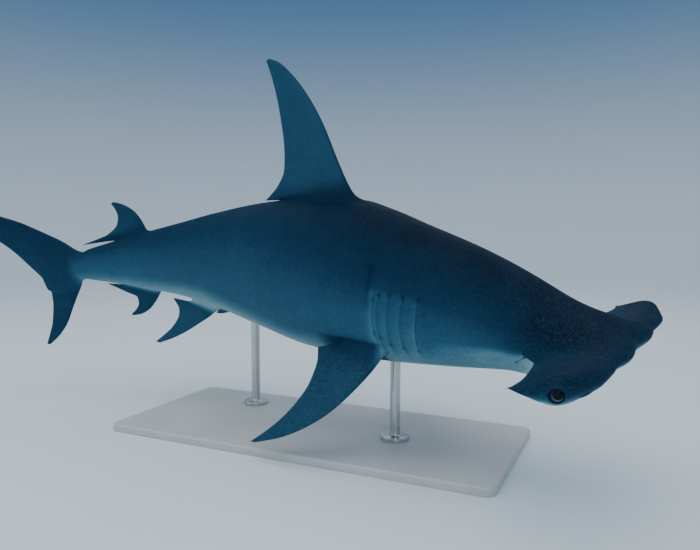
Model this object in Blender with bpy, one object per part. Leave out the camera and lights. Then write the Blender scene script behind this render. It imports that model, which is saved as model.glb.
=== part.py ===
"""Great hammerhead shark: a still, life-size display model on a plain stand.

The shark is laid out straight first, on a body plan whose unit is a hundredth of
the body's length: s runs back from the snout, y to the animal's left, z up.  A
spine that bends and rolls then carries every point of the plan to its place.
Metres, +Z up; the origin is the middle of the underside of the stand's base.
"""
import math

import bmesh
import bpy
import numpy as np
from mathutils import Vector
from mathutils.bvhtree import BVHTree

# Driving sizes
LENGTH = 3.10                       # snout to tip of tail, along the spine
UNIT = LENGTH / 100                 # one unit of the body plan
GAP = 0.0003                        # clearance between touching pieces
PLAN_GAP = GAP / UNIT

# Spine: where the body is held, its mid attitude, and what the neck and tail add
HELD_AT = 30.0
HELD_POINT = (0.11, -0.01, 0.515)
YAW, PITCH, ROLL = -16.0, -3.3, 10.9
NECK_START, NECK_END = 32.0, 4.0
NECK_TURN = (5.4, -6.8, -4.6)
TAIL_START, TAIL_RUN, TAIL_EASE = 34.0, 42.0, 1.4
TAIL_TURN = (30.7, 8.8, -0.8)

# Body plan: station, top, bottom, half width
BODY = (
    (8.4, 2.70, -3.85, 5.00), (10.5, 3.56, -4.35, 4.80), (13.0, 4.40, -4.95, 5.20),
    (16.0, 5.28, -5.60, 5.70), (21.0, 6.60, -6.50, 6.25), (25.0, 7.80, -7.05, 6.45),
    (28.0, 8.45, -7.30, 6.50), (33.0, 8.50, -7.40, 6.40), (41.0, 7.80, -6.60, 5.60),
    (49.0, 6.50, -5.30, 4.40), (56.0, 5.10, -4.20, 3.30), (61.0, 4.15, -3.60, 2.60),
    (66.0, 3.20, -2.90, 2.00), (70.0, 2.40, -2.30, 1.60), (72.5, 1.95, -1.95, 1.35),
    (75.0, 3.60, -2.20, 0.95), (78.0, 5.40, -3.20, 0.72), (80.2, 6.70, -1.40, 0.60),
    (82.2, 7.65, 0.50, 0.54), (84.5, 8.70, 3.00, 0.50), (88.0, 10.20, 5.80, 0.46),
    (92.0, 11.90, 8.60, 0.40), (95.0, 13.10, 10.90, 0.34), (97.0, 13.90, 11.10, 0.28),
    (99.0, 14.70, 12.80, 0.20), (100.3, 15.20, 14.40, 0.10))
# How far the lower edge of the tail fin's upper lobe lies behind its station
SWEEP = ((8.4, 0.0), (72.5, 0.0), (75.0, 0.25), (78.0, 0.3), (80.2, -1.2), (82.2, -1.8),
         (84.5, -2.2), (88.0, -2.7), (92.0, -2.6), (95.0, -2.2), (97.0, -1.6),
         (99.0, -0.4), (100.3, 0.0))
# Share of the depth above the widest level, and how boxy back and belly are
WIDEST = ((8.4, 0.62), (13.0, 0.57), (21.0, 0.53), (60.0, 0.50), (74.0, 0.50), (79.0, 0.38),
          (100.3, 0.38))
BACK_POWER = ((8.4, 2.1), (21.0, 1.95), (72.5, 2.0), (78.0, 1.8), (100.3, 1.8))
BELLY_POWER = ((8.4, 2.4), (21.0, 2.3), (45.0, 2.2), (72.5, 2.0), (78.0, 1.8), (100.3, 1.8))

# Hammer: its outline seen from above as (y, s), and its height above and below
FRONT_MARGIN = ((0.0, 1.38), (1.2, 1.18), (3.0, 0.98), (4.4, 1.13), (5.5, 1.33), (6.8, 1.26),
                (8.8, 1.30), (10.2, 1.70), (11.2, 2.12), (12.06, 2.62))
REAR_MARGIN = ((5.0, 8.40), (5.7, 7.59), (6.8, 6.89), (8.2, 6.41), (9.7, 6.15),
               (11.2, 6.02), (12.6, 6.16), (13.05, 6.33))
END_MARGIN = ((2.62, 12.06), (3.10, 12.60), (3.85, 12.88), (4.79, 12.99), (5.63, 13.12),
              (6.33, 13.05))
HAMMER_ABOVE = ((0.0, 1.50), (3.0, 1.30), (5.5, 1.05), (8.0, 1.01), (10.5, 1.35),
                (12.5, 1.60), (14.0, 1.54))
HAMMER_BELOW = ((0.0, 1.90), (3.0, 1.65), (5.5, 1.30), (8.0, 1.27), (10.5, 1.38),
                (12.5, 1.43), (14.0, 1.38))
HAMMER_DROOP, HAMMER_TILT = 0.156, 0.136
ARMPIT = 8.4
SPREAD = 6.0                        # half width of the middle part at the front margin
NOSE_SHARE, REAR_EASE, END_ROUND = 0.58, 1.6, 0.81
END_BLEND = 0.55                    # share of a lobe from which its end curve takes over
NECK_MERGE = 0.45                   # share of a lobe over which its rear edge leaves the neck
ARMPIT_FADE = 12                    # how close to the armpit the neck's smooth joint reaches
EDGE_SHARE = 0.06                   # share of the height that rounds a lobe's rear edge

# Resolution
AROUND = 32
OUTER_COLUMNS = 8
HAMMER_ROWS = 8
RING_STEP = 1.5

# Lengths of the body, one node each, by the stations where they start and end
HEAD_END = 13.0
LENGTHS = {"shoulder": (HEAD_END, 27.2), "torso_front": (27.2, 40.6), "torso_rear": (40.6, 58.0),
           "tail_stock": (58.0, 72.5), "caudal_fin_upper": (72.5, 100.3)}

# Gill slits: station, and the angles from the back's ridge where each starts and ends
GILL_SLITS = ((17.5, 72.0, 118.0), (18.9, 73.0, 117.0), (20.2, 74.0, 115.0),
              (21.2, 76.0, 109.0), (21.7, 80.0, 106.0))
FLAP_AHEAD, FLAP_BEHIND, FLAP_LIFT, SLIT_DEPTH = 0.30, 0.20, 0.14, 0.34
SLIT_FADE = 8.0                     # degrees over which a slit fades at each end


# Curves through a table ------------------------------------------------------

def along(table, x, column=1):
    """Monotone cubic through the table's points: no overshoot between them."""
    points = np.array(table, dtype=float)
    xs, ys = points[:, 0], points[:, column]
    x = np.clip(x, xs[0], xs[-1])
    step = np.diff(xs)
    slope = np.diff(ys) / step
    tangent = np.zeros_like(ys)
    same = slope[:-1] * slope[1:] > 0
    w1, w2 = 2 * step[1:] + step[:-1], step[1:] + 2 * step[:-1]
    inner = np.zeros_like(slope[1:])
    inner[same] = (w1 + w2)[same] / (w1[same] / slope[:-1][same] + w2[same] / slope[1:][same])
    tangent[1:-1] = inner
    tangent[0], tangent[-1] = slope[0], slope[-1]
    i = np.clip(np.searchsorted(xs, x, side="right") - 1, 0, len(step) - 1)
    h = step[i]
    t = (x - xs[i]) / h
    return ((1 + 2 * t) * (1 - t) ** 2 * ys[i] + t * (1 - t) ** 2 * h * tangent[i]
            + t * t * (3 - 2 * t) * ys[i + 1] + t * t * (t - 1) * h * tangent[i + 1])


def smoothstep(x):
    x = np.clip(x, 0.0, 1.0)
    return x * x * (3 - 2 * x)


# Spine -----------------------------------------------------------------------

def spine_axes(s):
    """Forward, left and up of the spine at each station s, as unit rows."""
    neck = smoothstep((NECK_START - s) / (NECK_START - NECK_END))
    tail = np.clip((s - TAIL_START) / TAIL_RUN, 0.0, 1.3) ** TAIL_EASE
    yaw, pitch, roll = (np.radians(mid + turn_n * neck + turn_t * tail) for mid, turn_n, turn_t
                        in zip((YAW, PITCH, ROLL), NECK_TURN, TAIL_TURN))
    flat = np.zeros_like(yaw)
    forward = np.stack((np.cos(pitch) * np.cos(yaw), np.cos(pitch) * np.sin(yaw),
                        np.sin(pitch)), -1)
    level_left = np.stack((-np.sin(yaw), np.cos(yaw), flat), -1)
    level_up = np.cross(forward, level_left)
    c, k = np.cos(roll)[..., None], np.sin(roll)[..., None]
    return forward, level_left * c + level_up * k, level_up * c - level_left * k


SPINE_S = np.linspace(-2.0, 104.0, 1061)
SPINE_FORWARD, SPINE_LEFT, SPINE_UP = spine_axes(SPINE_S)


def spine_points():
    """The spine's line: its forward direction summed backwards from the snout."""
    step = (SPINE_S[1] - SPINE_S[0]) * UNIT
    middle = (SPINE_FORWARD[1:] + SPINE_FORWARD[:-1]) / 2
    line = np.vstack((np.zeros(3), -np.cumsum(middle * step, axis=0)))
    held = [np.interp(HELD_AT, SPINE_S, line[:, k]) for k in range(3)]
    return line + (np.array(HELD_POINT) - held)


SPINE_LINE = spine_points()


def posed(plan):
    """Carries body-plan points (s, y, z) to their place: line + y left + z up."""
    plan = np.asarray(plan, dtype=float)
    s = plan[..., 0]
    line, left, up = (np.stack([np.interp(s, SPINE_S, rows[:, k]) for k in range(3)], -1)
                      for rows in (SPINE_LINE, SPINE_LEFT, SPINE_UP))
    return line + (left * plan[..., 1:2] + up * plan[..., 2:3]) * UNIT


# Body surface ----------------------------------------------------------------

def ring_angles():
    return np.arange(AROUND) * 2 * np.pi / AROUND


def gill_lift(station, angle):
    """Rise of each gill flap's rear edge and drop of the slit behind it."""
    lift = np.zeros(np.broadcast(station, angle).shape)
    side = np.degrees(np.minimum(angle, 2 * np.pi - angle))
    for s, start, end in GILL_SLITS:
        inside = smoothstep((side - start) / SLIT_FADE) * smoothstep((end - side) / SLIT_FADE)
        ahead = np.clip(1 - np.abs(station - (s - FLAP_AHEAD)) / FLAP_AHEAD, 0, 1)
        slit = np.clip(1 - np.abs(station - s) / FLAP_BEHIND, 0, 1)
        lift += inside * (FLAP_LIFT * ahead - SLIT_DEPTH * slit)
    return lift


def body_point(station, angle):
    """A point of the body's skin: a superellipse section from its top point to its
    bottom point, widest at a share of its depth; angle 0 is the back's ridge."""
    station, angle = np.broadcast_arrays(np.asarray(station, float), np.asarray(angle, float))
    top, bottom, half = (along(BODY, station, column) for column in (1, 2, 3))
    share = along(WIDEST, station)
    cosine, sine = np.cos(angle), np.sin(angle)
    upper = cosine >= 0
    power = 2 / np.where(upper, along(BACK_POWER, station), along(BELLY_POWER, station))
    reach = np.abs(cosine) ** power
    down = np.where(upper, share * (1 - reach), share + (1 - share) * reach)
    lift = gill_lift(station, angle)
    y = np.sign(sine) * np.abs(sine) ** power * half + lift * np.sign(sine)
    return np.stack((station + along(SWEEP, station) * down, y, top + (bottom - top) * down), -1)


def stations(keys, step):
    """Every key station, with even steps of at most the given size between them."""
    keys = sorted({round(key, 6) for key in keys})
    out = []
    for a, b in zip(keys[:-1], keys[1:]):
        count = max(1, math.ceil((b - a) / step - 1e-6))
        out.extend(a + (b - a) * i / count for i in range(count))
    return out + [keys[-1]]


# Mesh helpers ----------------------------------------------------------------

def grid_triangles(index, mirror=None):
    """Triangles of a grid of vertex numbers; mirror marks cells cut the other way."""
    a, b, c, d = index[:-1, :-1], index[1:, :-1], index[1:, 1:], index[:-1, 1:]
    if mirror is None:
        mirror = np.zeros(a.shape, bool)
    first = np.where(mirror[..., None], np.stack((a, b, d), -1), np.stack((a, b, c), -1))
    second = np.where(mirror[..., None], np.stack((b, c, d), -1), np.stack((a, c, d), -1))
    return np.concatenate((first.reshape(-1, 3), second.reshape(-1, 3)))


def closed_mesh(name, plan, triangles):
    """A closed mesh on the body plan with its faces turned outwards."""
    mesh = bpy.data.meshes.new(name)
    mesh.from_pydata(np.asarray(plan).tolist(), [], np.asarray(triangles).tolist())
    work = bmesh.new()
    work.from_mesh(mesh)
    bmesh.ops.remove_doubles(work, verts=work.verts, dist=1e-5)
    bmesh.ops.dissolve_degenerate(work, edges=work.edges, dist=1e-6)
    bmesh.ops.recalc_face_normals(work, faces=work.faces)
    work.to_mesh(mesh)
    work.free()
    return mesh


def place(name, mesh, material, smooth=40.0):
    """Poses a body-plan mesh and makes it the object of one node."""
    plan = np.empty(len(mesh.vertices) * 3)
    mesh.vertices.foreach_get("co", plan)
    mesh.vertices.foreach_set("co", posed(plan.reshape(-1, 3)).ravel())
    work = bmesh.new()
    work.from_mesh(mesh)
    bmesh.ops.triangulate(work, faces=work.faces)
    bmesh.ops.recalc_face_normals(work, faces=work.faces)
    work.to_mesh(mesh)
    work.free()
    mesh.shade_smooth()
    mesh.set_sharp_from_angle(angle=math.radians(smooth))
    mesh.name = name
    mesh.materials.append(material)
    node = bpy.data.objects.new(name, mesh)
    bpy.context.collection.objects.link(node)
    return node


def principled(name, colour, roughness, metallic=0.0):
    material = bpy.data.materials.new(name)
    material.use_nodes = True
    shader = material.node_tree.nodes["Principled BSDF"]
    shader.inputs["Base Color"].default_value = (*colour, 1.0)
    shader.inputs["Roughness"].default_value = roughness
    shader.inputs["Metallic"].default_value = metallic
    return material


def boolean(mesh, others, operation):
    """The mesh joined with, or cut by, a list of other closed meshes."""
    body = bpy.data.objects.new("work", mesh)
    bpy.context.collection.objects.link(body)
    group = bpy.data.collections.new("work")
    bpy.context.scene.collection.children.link(group)
    tools = [bpy.data.objects.new("tool", other) for other in others]
    for tool in tools:
        group.objects.link(tool)
    cut = body.modifiers.new("cut", "BOOLEAN")
    cut.operation = operation
    cut.operand_type = "COLLECTION"
    cut.collection = group
    cut.solver = "EXACT"
    graph = bpy.context.evaluated_depsgraph_get()
    result = bpy.data.meshes.new_from_object(body.evaluated_get(graph))
    for item in tools + [body]:
        bpy.data.objects.remove(item)
    bpy.data.collections.remove(group)
    return largest_shell(result)


def largest_shell(mesh):
    """Keeps the largest closed surface of a mesh and drops loose scraps."""
    work = bmesh.new()
    work.from_mesh(mesh)
    bmesh.ops.triangulate(work, faces=work.faces)
    left, shells = set(work.faces), []
    while left:
        queue = [left.pop()]
        shell = list(queue)
        while queue:
            for edge in queue.pop().edges:
                for face in edge.link_faces:
                    if face in left:
                        left.remove(face)
                        queue.append(face)
                        shell.append(face)
        shells.append(shell)
    shells.sort(key=len)
    scraps = [face for shell in shells[:-1] for face in shell]
    bmesh.ops.delete(work, geom=scraps, context="FACES")
    work.to_mesh(mesh)
    work.free()
    return mesh


# Body lengths ----------------------------------------------------------------

def length_stations(name):
    """The stations of a length's rings: one at each gill slit's edges and at each fin
    root's ends, even steps between."""
    start, end = LENGTHS[name]
    keys = [s + d for s, _, _ in GILL_SLITS for d in (-FLAP_AHEAD, 0.0, FLAP_BEHIND)]
    keys += [s for fin in FINS.values() if fin["on"] == name for s in fin["root"]]
    return stations([start + PLAN_GAP, end, *[k for k in keys if start < k < end]], RING_STEP)


def length_of_body(name):
    """A length of the body between two flat ends."""
    s = np.array(length_stations(name))
    rings = body_point(s[:, None], ring_angles()[None, :])
    count = len(s)
    index = np.arange(count * AROUND).reshape(count, AROUND)
    wrapped = np.hstack((index, index[:, :1]))
    mirror = np.arange(AROUND)[None, :] >= AROUND // 2
    triangles = [grid_triangles(wrapped, np.broadcast_to(mirror, (count - 1, AROUND)))]
    for ring in (index[0], index[-1]):
        triangles.append(end_cap(ring))
    return closed_mesh(name, rings.reshape(-1, 3), np.concatenate(triangles))


def end_cap(ring):
    """Closes a ring with strips between its left and right halves."""
    half = len(ring) // 2
    left = ring[:half + 1]
    right = np.concatenate((ring[:1], ring[:half - 1:-1]))
    triangles = grid_triangles(np.stack((left, right)))
    return triangles[[len(set(t)) == 3 for t in triangles.tolist()]]


# Head ------------------------------------------------------------------------

def hammer_columns():
    """Columns across the hammer: -2 at the right end, -1 to 1 over the neck's ring, 2 at
    the left end, closer together towards the ends."""
    lobe = 2 - (1 - np.arange(1, OUTER_COLUMNS + 1) / OUTER_COLUMNS) ** 1.5
    return np.concatenate((-lobe[::-1], np.linspace(-1, 1, AROUND // 2 + 1), lobe))


def hammer_middle(s, y):
    """Height of the hammer's middle plane: it droops outwards and tilts back."""
    return 0.1 - HAMMER_DROOP * (y / 10) ** 2 - HAMMER_TILT * (s - 2)


def hammer_point(column, v, up):
    """A point of the hammer's skin; v runs from the front margin (0) to the rear one (1)
    and up is 1 on top, -1 below.  Seen from above it is a straight line between the
    margins, with the ends bulged out to their own curve.  Its height is the middle
    plane plus a rise that grows as a quarter ellipse behind the front margin and fades
    to a thin rear edge; in the middle part it runs into the neck with its slope."""
    column, v = np.broadcast_arrays(np.asarray(column, float), np.asarray(v, float))
    out = np.clip(np.abs(column) - 1, 0, 1)
    side, inner = np.sign(column), np.clip(column, -1, 1)
    ring = inner * np.pi / 2 if up > 0 else np.pi - inner * np.pi / 2
    neck = body_point(ARMPIT, ring)
    neck_slope = (body_point(ARMPIT + 0.05, ring) - neck) / 0.05
    merge = smoothstep(out / NECK_MERGE)
    y_front = inner * SPREAD + side * out * (FRONT_MARGIN[-1][0] - SPREAD)
    rear_reach = REAR_MARGIN[0][0] + (REAR_MARGIN[-1][0] - REAR_MARGIN[0][0]) * out
    y_rear = np.where(out > 0, side * rear_reach, neck[..., 1])
    s_front = along(FRONT_MARGIN, np.abs(y_front))
    s_rear = np.where(out > 0, along(REAR_MARGIN, np.abs(y_rear)), ARMPIT)
    z_rear = neck[..., 2] * (1 - merge) + hammer_middle(s_rear, y_rear) * merge
    y_end = along(END_MARGIN, END_MARGIN[0][0] + (END_MARGIN[-1][0] - END_MARGIN[0][0]) * v)
    bulge = y_end - (FRONT_MARGIN[-1][0] * (1 - v) + REAR_MARGIN[-1][0] * v)
    ease = (v - 1) * v * v * (1 - np.abs(inner) ** ARMPIT_FADE)
    run = ARMPIT - s_front
    s = s_front * (1 - v) + s_rear * v
    y = (y_front * (1 - v) + y_rear * v + smoothstep((out - END_BLEND) / (1 - END_BLEND)) * side * bulge
         + ease * (neck_slope[..., 1] * run - (y_rear - y_front)))
    nose = np.sqrt(1 - (1 - np.clip(v / NOSE_SHARE, 0, 1)) ** 2)
    tip = np.sqrt(1 - np.clip((out - END_ROUND) / (1 - END_ROUND), 0, 1) ** 2)
    edge = EDGE_SHARE * merge
    keep = (1 - v ** REAR_EASE) * (1 - edge) + edge * np.sqrt(1 - v)
    thick = HAMMER_ABOVE if up > 0 else HAMMER_BELOW
    rise, rear_rise = (up * along(thick, np.abs(at)) for at in (y, y_rear))
    last = hammer_middle(s_rear, y_rear) + rear_rise
    z = ((hammer_middle(s, y) + rise * nose * tip) * keep + z_rear * (1 - keep)
         + ease * (neck_slope[..., 2] * run + REAR_EASE * (last - z_rear)))
    return np.stack((s, y, z), -1)


def head_mesh():
    """The hammer and the neck behind it as one closed surface."""
    v = (1 - np.cos(np.pi * np.arange(HAMMER_ROWS + 1) / HAMMER_ROWS)) / 2
    top, bottom = (hammer_point(hammer_columns()[:, None], v, up) for up in (1, -1))
    columns, rows = top.shape[:2]
    top_index = np.arange(columns * rows).reshape(columns, rows)
    bottom_index = top_index + columns * rows
    left = np.arange(columns - 1)[:, None] >= (columns - 1) // 2
    mirror = left != (np.arange(rows - 1)[None, :] >= (rows - 1) // 2)
    triangles = [grid_triangles(top_index, mirror), grid_triangles(bottom_index, mirror)]
    s = np.array(stations([ARMPIT, HEAD_END], RING_STEP))
    rings = body_point(s[:, None], ring_angles()[None, :])
    start = 2 * columns * rows
    index = start + np.arange(len(s) * AROUND).reshape(len(s), AROUND)
    wrapped = np.hstack((index, index[:, :1]))
    cells = np.arange(AROUND)[None, :] >= AROUND // 2
    triangles.append(grid_triangles(wrapped, np.broadcast_to(cells, (len(s) - 1, AROUND))))
    triangles.append(end_cap(index[-1]))
    plan = np.concatenate((top.reshape(-1, 3), bottom.reshape(-1, 3), rings.reshape(-1, 3)))
    return closed_mesh("head", plan, np.concatenate(triangles))


# Fins ------------------------------------------------------------------------

# Each fin: the node it grows on, the body stations and ring column of its root, the
# root's own point and span direction in the (y, z) plane, its leading, inner and
# trailing margins as (share of span, s, distance out), the share where the free rear
# tip lies, and its half thickness at the root and at the tip.
UP, DOWN = (0.0, 1.0), (0.0, -1.0)
FINS = {
    "dorsal_fin_first": dict(
        on="torso_front", root=(27.9, 38.4), column=0, point=(0.0, 0.0), span=UP,
        thick=(0.85, 0.10), rear_tip=0.14,
        lead=((0, 27.9, 8.5), (0.14, 28.9, 10.2), (0.28, 29.9, 12.4), (0.5, 31.4, 16.0),
              (0.7, 33.2, 18.9), (0.85, 35.2, 21.1), (0.94, 36.8, 22.3), (1, 38.1, 22.75)),
        inner=((0, 38.4, 8.15), (0.14, 41.0, 8.0)),
        trail=((0.14, 41.0, 8.0), (0.22, 38.9, 9.6), (0.33, 37.6, 11.4), (0.5, 37.2, 14.4),
               (0.7, 37.4, 17.8), (0.85, 37.8, 20.2), (0.94, 38.2, 21.7), (1, 38.5, 22.55))),
    "dorsal_fin_second": dict(
        on="tail_stock", root=(61.2, 66.4), column=0, point=(0.0, 0.0), span=UP,
        thick=(0.42, 0.08), rear_tip=0.2,
        lead=((0, 61.2, 4.1), (0.2, 61.6, 5.2), (0.45, 62.5, 6.6), (0.7, 63.7, 7.5),
              (0.88, 64.9, 8.0), (1, 65.9, 8.2)),
        inner=((0, 66.4, 3.15), (0.2, 72.1, 2.75)),
        trail=((0.2, 72.1, 2.75), (0.32, 67.8, 3.9), (0.5, 65.9, 5.2), (0.7, 65.5, 6.4),
               (0.88, 65.8, 7.4), (1, 66.2, 8.0))),
    "anal_fin": dict(
        on="tail_stock", root=(60.4, 65.6), column=16, point=(0.0, 0.0), span=DOWN,
        thick=(0.40, 0.08), rear_tip=0.2,
        lead=((0, 60.4, 3.65), (0.2, 61.0, 4.4), (0.45, 62.0, 5.5), (0.7, 63.3, 6.55),
              (0.88, 64.8, 7.15), (1, 66.0, 7.3)),
        inner=((0, 65.6, 2.98), (0.2, 69.3, 2.7)),
        trail=((0.2, 69.3, 2.7), (0.34, 66.4, 4.0), (0.5, 64.8, 4.7), (0.7, 64.7, 5.5),
               (0.88, 65.3, 6.4), (1, 66.3, 7.15))),
    "caudal_fin_lower": dict(
        on="caudal_fin_upper", root=(73.0, 78.0), column=16, point=(0.0, 0.0), span=DOWN,
        thick=(0.52, 0.08), rear_tip=0.06,
        lead=((0, 73.0, 2.0), (0.06, 73.3, 2.6), (0.25, 74.4, 4.2), (0.45, 75.6, 6.0),
              (0.65, 76.9, 8.0), (0.85, 78.7, 9.8), (1, 80.4, 10.95)),
        inner=((0, 78.3, 3.2), (0.06, 78.25, 3.6)),
        trail=((0.06, 78.25, 3.6), (0.25, 78.4, 4.9), (0.45, 78.8, 6.4), (0.65, 79.3, 7.9),
               (0.85, 80.2, 9.6), (1, 80.9, 10.85))),
    "pectoral_fin": dict(
        on="shoulder", root=(21.2, 26.2), column=11, point=(4.9, -4.2), span=(0.707, -0.707),
        thick=(0.62, 0.08), rear_tip=0.14,
        lead=((0, 21.2, 0.0), (0.14, 21.6, 1.8), (0.38, 22.9, 4.9), (0.58, 24.2, 7.0),
              (0.75, 25.8, 8.7), (0.9, 28.3, 10.5), (1, 31.3, 11.9)),
        inner=((0, 26.2, 0.2), (0.14, 29.2, 1.3)),
        trail=((0.14, 29.2, 1.3), (0.28, 28.4, 3.0), (0.45, 28.2, 5.0), (0.62, 28.6, 6.9),
               (0.8, 29.7, 9.2), (0.92, 31.0, 10.9), (1, 32.0, 12.0))),
    "pelvic_fin": dict(
        on="torso_rear", root=(48.7, 53.0), column=13, point=(2.4, -4.8), span=(0.68, -0.733),
        thick=(0.40, 0.07), rear_tip=0.2,
        lead=((0, 48.7, 0.0), (0.2, 49.5, 1.0), (0.45, 50.9, 2.2), (0.7, 52.6, 3.5),
              (0.88, 54.4, 4.5), (1, 56.2, 5.2)),
        inner=((0, 53.0, -0.5), (0.2, 57.0, -0.9)),
        trail=((0.2, 57.0, -0.9), (0.36, 55.2, 0.6), (0.52, 54.8, 1.7), (0.7, 55.1, 2.9),
               (0.88, 56.0, 4.1), (1, 57.0, 5.1))),
}
PAIRED = ("pectoral_fin", "pelvic_fin")
ROOT_HALF_COLUMNS = 1
SPAN_STEPS = 8
FIRST_RING = 0.45                   # share of the way to the rear tip of a fin's first ring
SLENDER = 0.8                       # how fast a fin thins along its span
FLARE, FLARE_WIDTH = 0.16, 0.8      # share of the span over which a root widens, and how much
CHORD_BLEND = 0.35                  # share of the span over which the rings become even


def section(x):
    """Half thickness of a fin along its chord: a round nose and a thin rear edge."""
    nose = np.sqrt(1 - (1 - np.clip(x / 0.3, 0, 1)) ** 2)
    return nose * ((1 - x ** 1.7) * 0.93) + 0.07 * np.sqrt(np.clip(1 - x, 0, 1)) * nose


def root_patch(fin, s):
    """The block of the body's points under a fin's root, front row first."""
    column = fin["column"]
    columns = (np.arange(column - ROOT_HALF_COLUMNS, column + ROOT_HALF_COLUMNS + 1)) % AROUND
    if column >= AROUND // 4:
        columns = columns[::-1]
    return body_point(s[:, None], ring_angles()[columns][None, :])


def fin_mesh(name, fin):
    """A fin from its root on the body to its tip, in rings of a streamlined section."""
    s = np.array(length_stations(fin["on"]))
    s = s[(s > fin["root"][0] - PLAN_GAP) & (s < fin["root"][1] + PLAN_GAP)]
    patch = root_patch(fin, s)
    rows, width = patch.shape[:2]
    middle = ROOT_HALF_COLUMNS
    # border of the patch: middle of the front, down one side, middle of the rear, back
    one = ([(0, middle + k) for k in range(middle + 1)]
           + [(r, width - 1) for r in range(1, rows)]
           + [(rows - 1, width - 2 - k) for k in range(middle)])
    other = ([(0, middle - k) for k in range(middle + 1)]
             + [(r, 0) for r in range(1, rows)]
             + [(rows - 1, 1 + k) for k in range(middle)])
    loop = one + other[-2:0:-1]
    half = len(one) - 1
    share = np.concatenate((np.arange(half + 1), np.arange(half - 1, 0, -1))) / half
    side = np.concatenate((np.ones(half + 1), -np.ones(half - 1)))
    x_round = (1 - np.cos(np.pi * share)) / 2
    x_root = np.array([(s[r] - s[0]) / (s[-1] - s[0]) for r, _ in loop])

    tip = fin["rear_tip"]
    v = np.concatenate(([tip * FIRST_RING],
                        tip + (1 - tip) * np.linspace(0, 1, SPAN_STEPS)))
    lead = np.stack([along(fin["lead"], v, k) for k in (1, 2)], -1)
    inner = np.stack([along(fin["inner"], v, k) for k in (1, 2)], -1)
    outer = np.stack([along(fin["trail"], v, k) for k in (1, 2)], -1)
    trail = np.where((v <= tip)[:, None], inner, outer)
    thick = fin["thick"][0] + (fin["thick"][1] - fin["thick"][0]) * v ** SLENDER
    root_half = np.linalg.norm(patch[rows // 2, 0] - patch[rows // 2, -1]) / 2
    flare = np.clip(1 - v / FLARE, 0, 1) ** 2
    thick = thick + (root_half - fin["thick"][0]) * FLARE_WIDTH * flare
    blend = smoothstep(v / CHORD_BLEND)[:, None]
    x = x_root * (1 - blend) + x_round * blend
    chord = lead[:, None, :] * (1 - x[..., None]) + trail[:, None, :] * x[..., None]
    push = side * thick[:, None] * section(x) * (share > 0) * (share < 1)
    span = np.array(fin["span"])
    across = np.array((span[1], -span[0]))
    point = np.array(fin["point"])
    yz = point + chord[..., 1:] * span + push[..., None] * across
    rings = np.concatenate((chord[..., :1], yz), -1)

    root = patch + outward(patch) * PLAN_GAP
    if np.dot(root[rows // 2, -1, 1:] - root[rows // 2, 0, 1:], across) < 0:
        rings = np.concatenate((rings[:, :1], rings[:, :0:-1]), 1)
    border = np.array([root[r, c] for r, c in loop])
    rings = np.concatenate((border[None], rings))
    count = rings.shape[1]
    index = np.arange(rings.shape[0] * count).reshape(-1, count)
    wrapped = np.hstack((index, index[:, :1]))
    mirror = np.broadcast_to(np.arange(count)[None, :] >= half, (len(index) - 1, count))
    triangles = [grid_triangles(wrapped, mirror), fin_tip(index[-1], half)]
    start = rings.shape[0] * count
    inside = start + np.arange(rows * width).reshape(rows, width)
    triangles.append(patch_triangles(inside, fin))
    plan = np.concatenate((rings.reshape(-1, 3), root.reshape(-1, 3)))
    return closed_mesh(name, plan, np.concatenate(triangles))


def patch_triangles(index, fin):
    """Cuts the root's cells as the body cuts them, so that both faces lie alike."""
    columns = index.shape[1] - 1
    first = fin["column"] - ROOT_HALF_COLUMNS
    numbers = (first + np.arange(columns)) % AROUND
    if fin["column"] >= AROUND // 4:
        mirror = (numbers >= AROUND // 2)[::-1]
        cut = np.broadcast_to(~mirror, (index.shape[0] - 1, columns))
        return grid_triangles(index, cut)
    return grid_triangles(index, np.broadcast_to(numbers >= AROUND // 2,
                                                 (index.shape[0] - 1, columns)))


def fin_tip(ring, half):
    """Closes the last ring with strips between its two faces."""
    one = ring[:half + 1]
    other = np.concatenate((ring[:1], ring[:half - 1:-1]))
    triangles = grid_triangles(np.stack((one, other)))
    return triangles[[len(set(t)) == 3 for t in triangles.tolist()]]


def outward(patch):
    """Unit normals of a root patch, pointing away from the body's axis."""
    normal = np.cross(np.gradient(patch, axis=0), np.gradient(patch, axis=1))
    normal /= np.linalg.norm(normal, axis=-1, keepdims=True)
    away = np.sum(normal[..., 1:] * patch[..., 1:], -1, keepdims=True)
    return normal * np.sign(away)


def mirrored(mesh, name):
    """The mesh's mirror image across the body's middle plane."""
    copy = mesh.copy()
    copy.name = name
    plan = np.empty(len(copy.vertices) * 3)
    copy.vertices.foreach_get("co", plan)
    plan = plan.reshape(-1, 3) * (1.0, -1.0, 1.0)
    copy.vertices.foreach_set("co", plan.ravel())
    copy.flip_normals()
    return copy


# Head details ----------------------------------------------------------------

EYE_CENTRE, EYE_RADIUS = (3.33, 12.38, -0.39), 0.57
EYE_SEGMENTS, EYE_RINGS = 20, 12
NOSTRIL_SEGMENTS, NOSTRIL_RINGS = 14, 8
LID = dict(radius=0.52, thick=0.11, out=0.32, wrap=0.10)
NOSTRIL = dict(point=(1.92, 10.5, -0.57), size=(0.50, 0.60, 0.14), turn=24.0)
MOUTH = dict(front=6.5, back=9.8, half=3.5, reach=86.0, flat=0.9, width=0.16, slant=2.2)
LIPS = dict(thick=0.20, apart=0.26, out=0.06)
LIP_ENDS = 0.6                      # share of their size the lips and the slit lose at the ends


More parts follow.
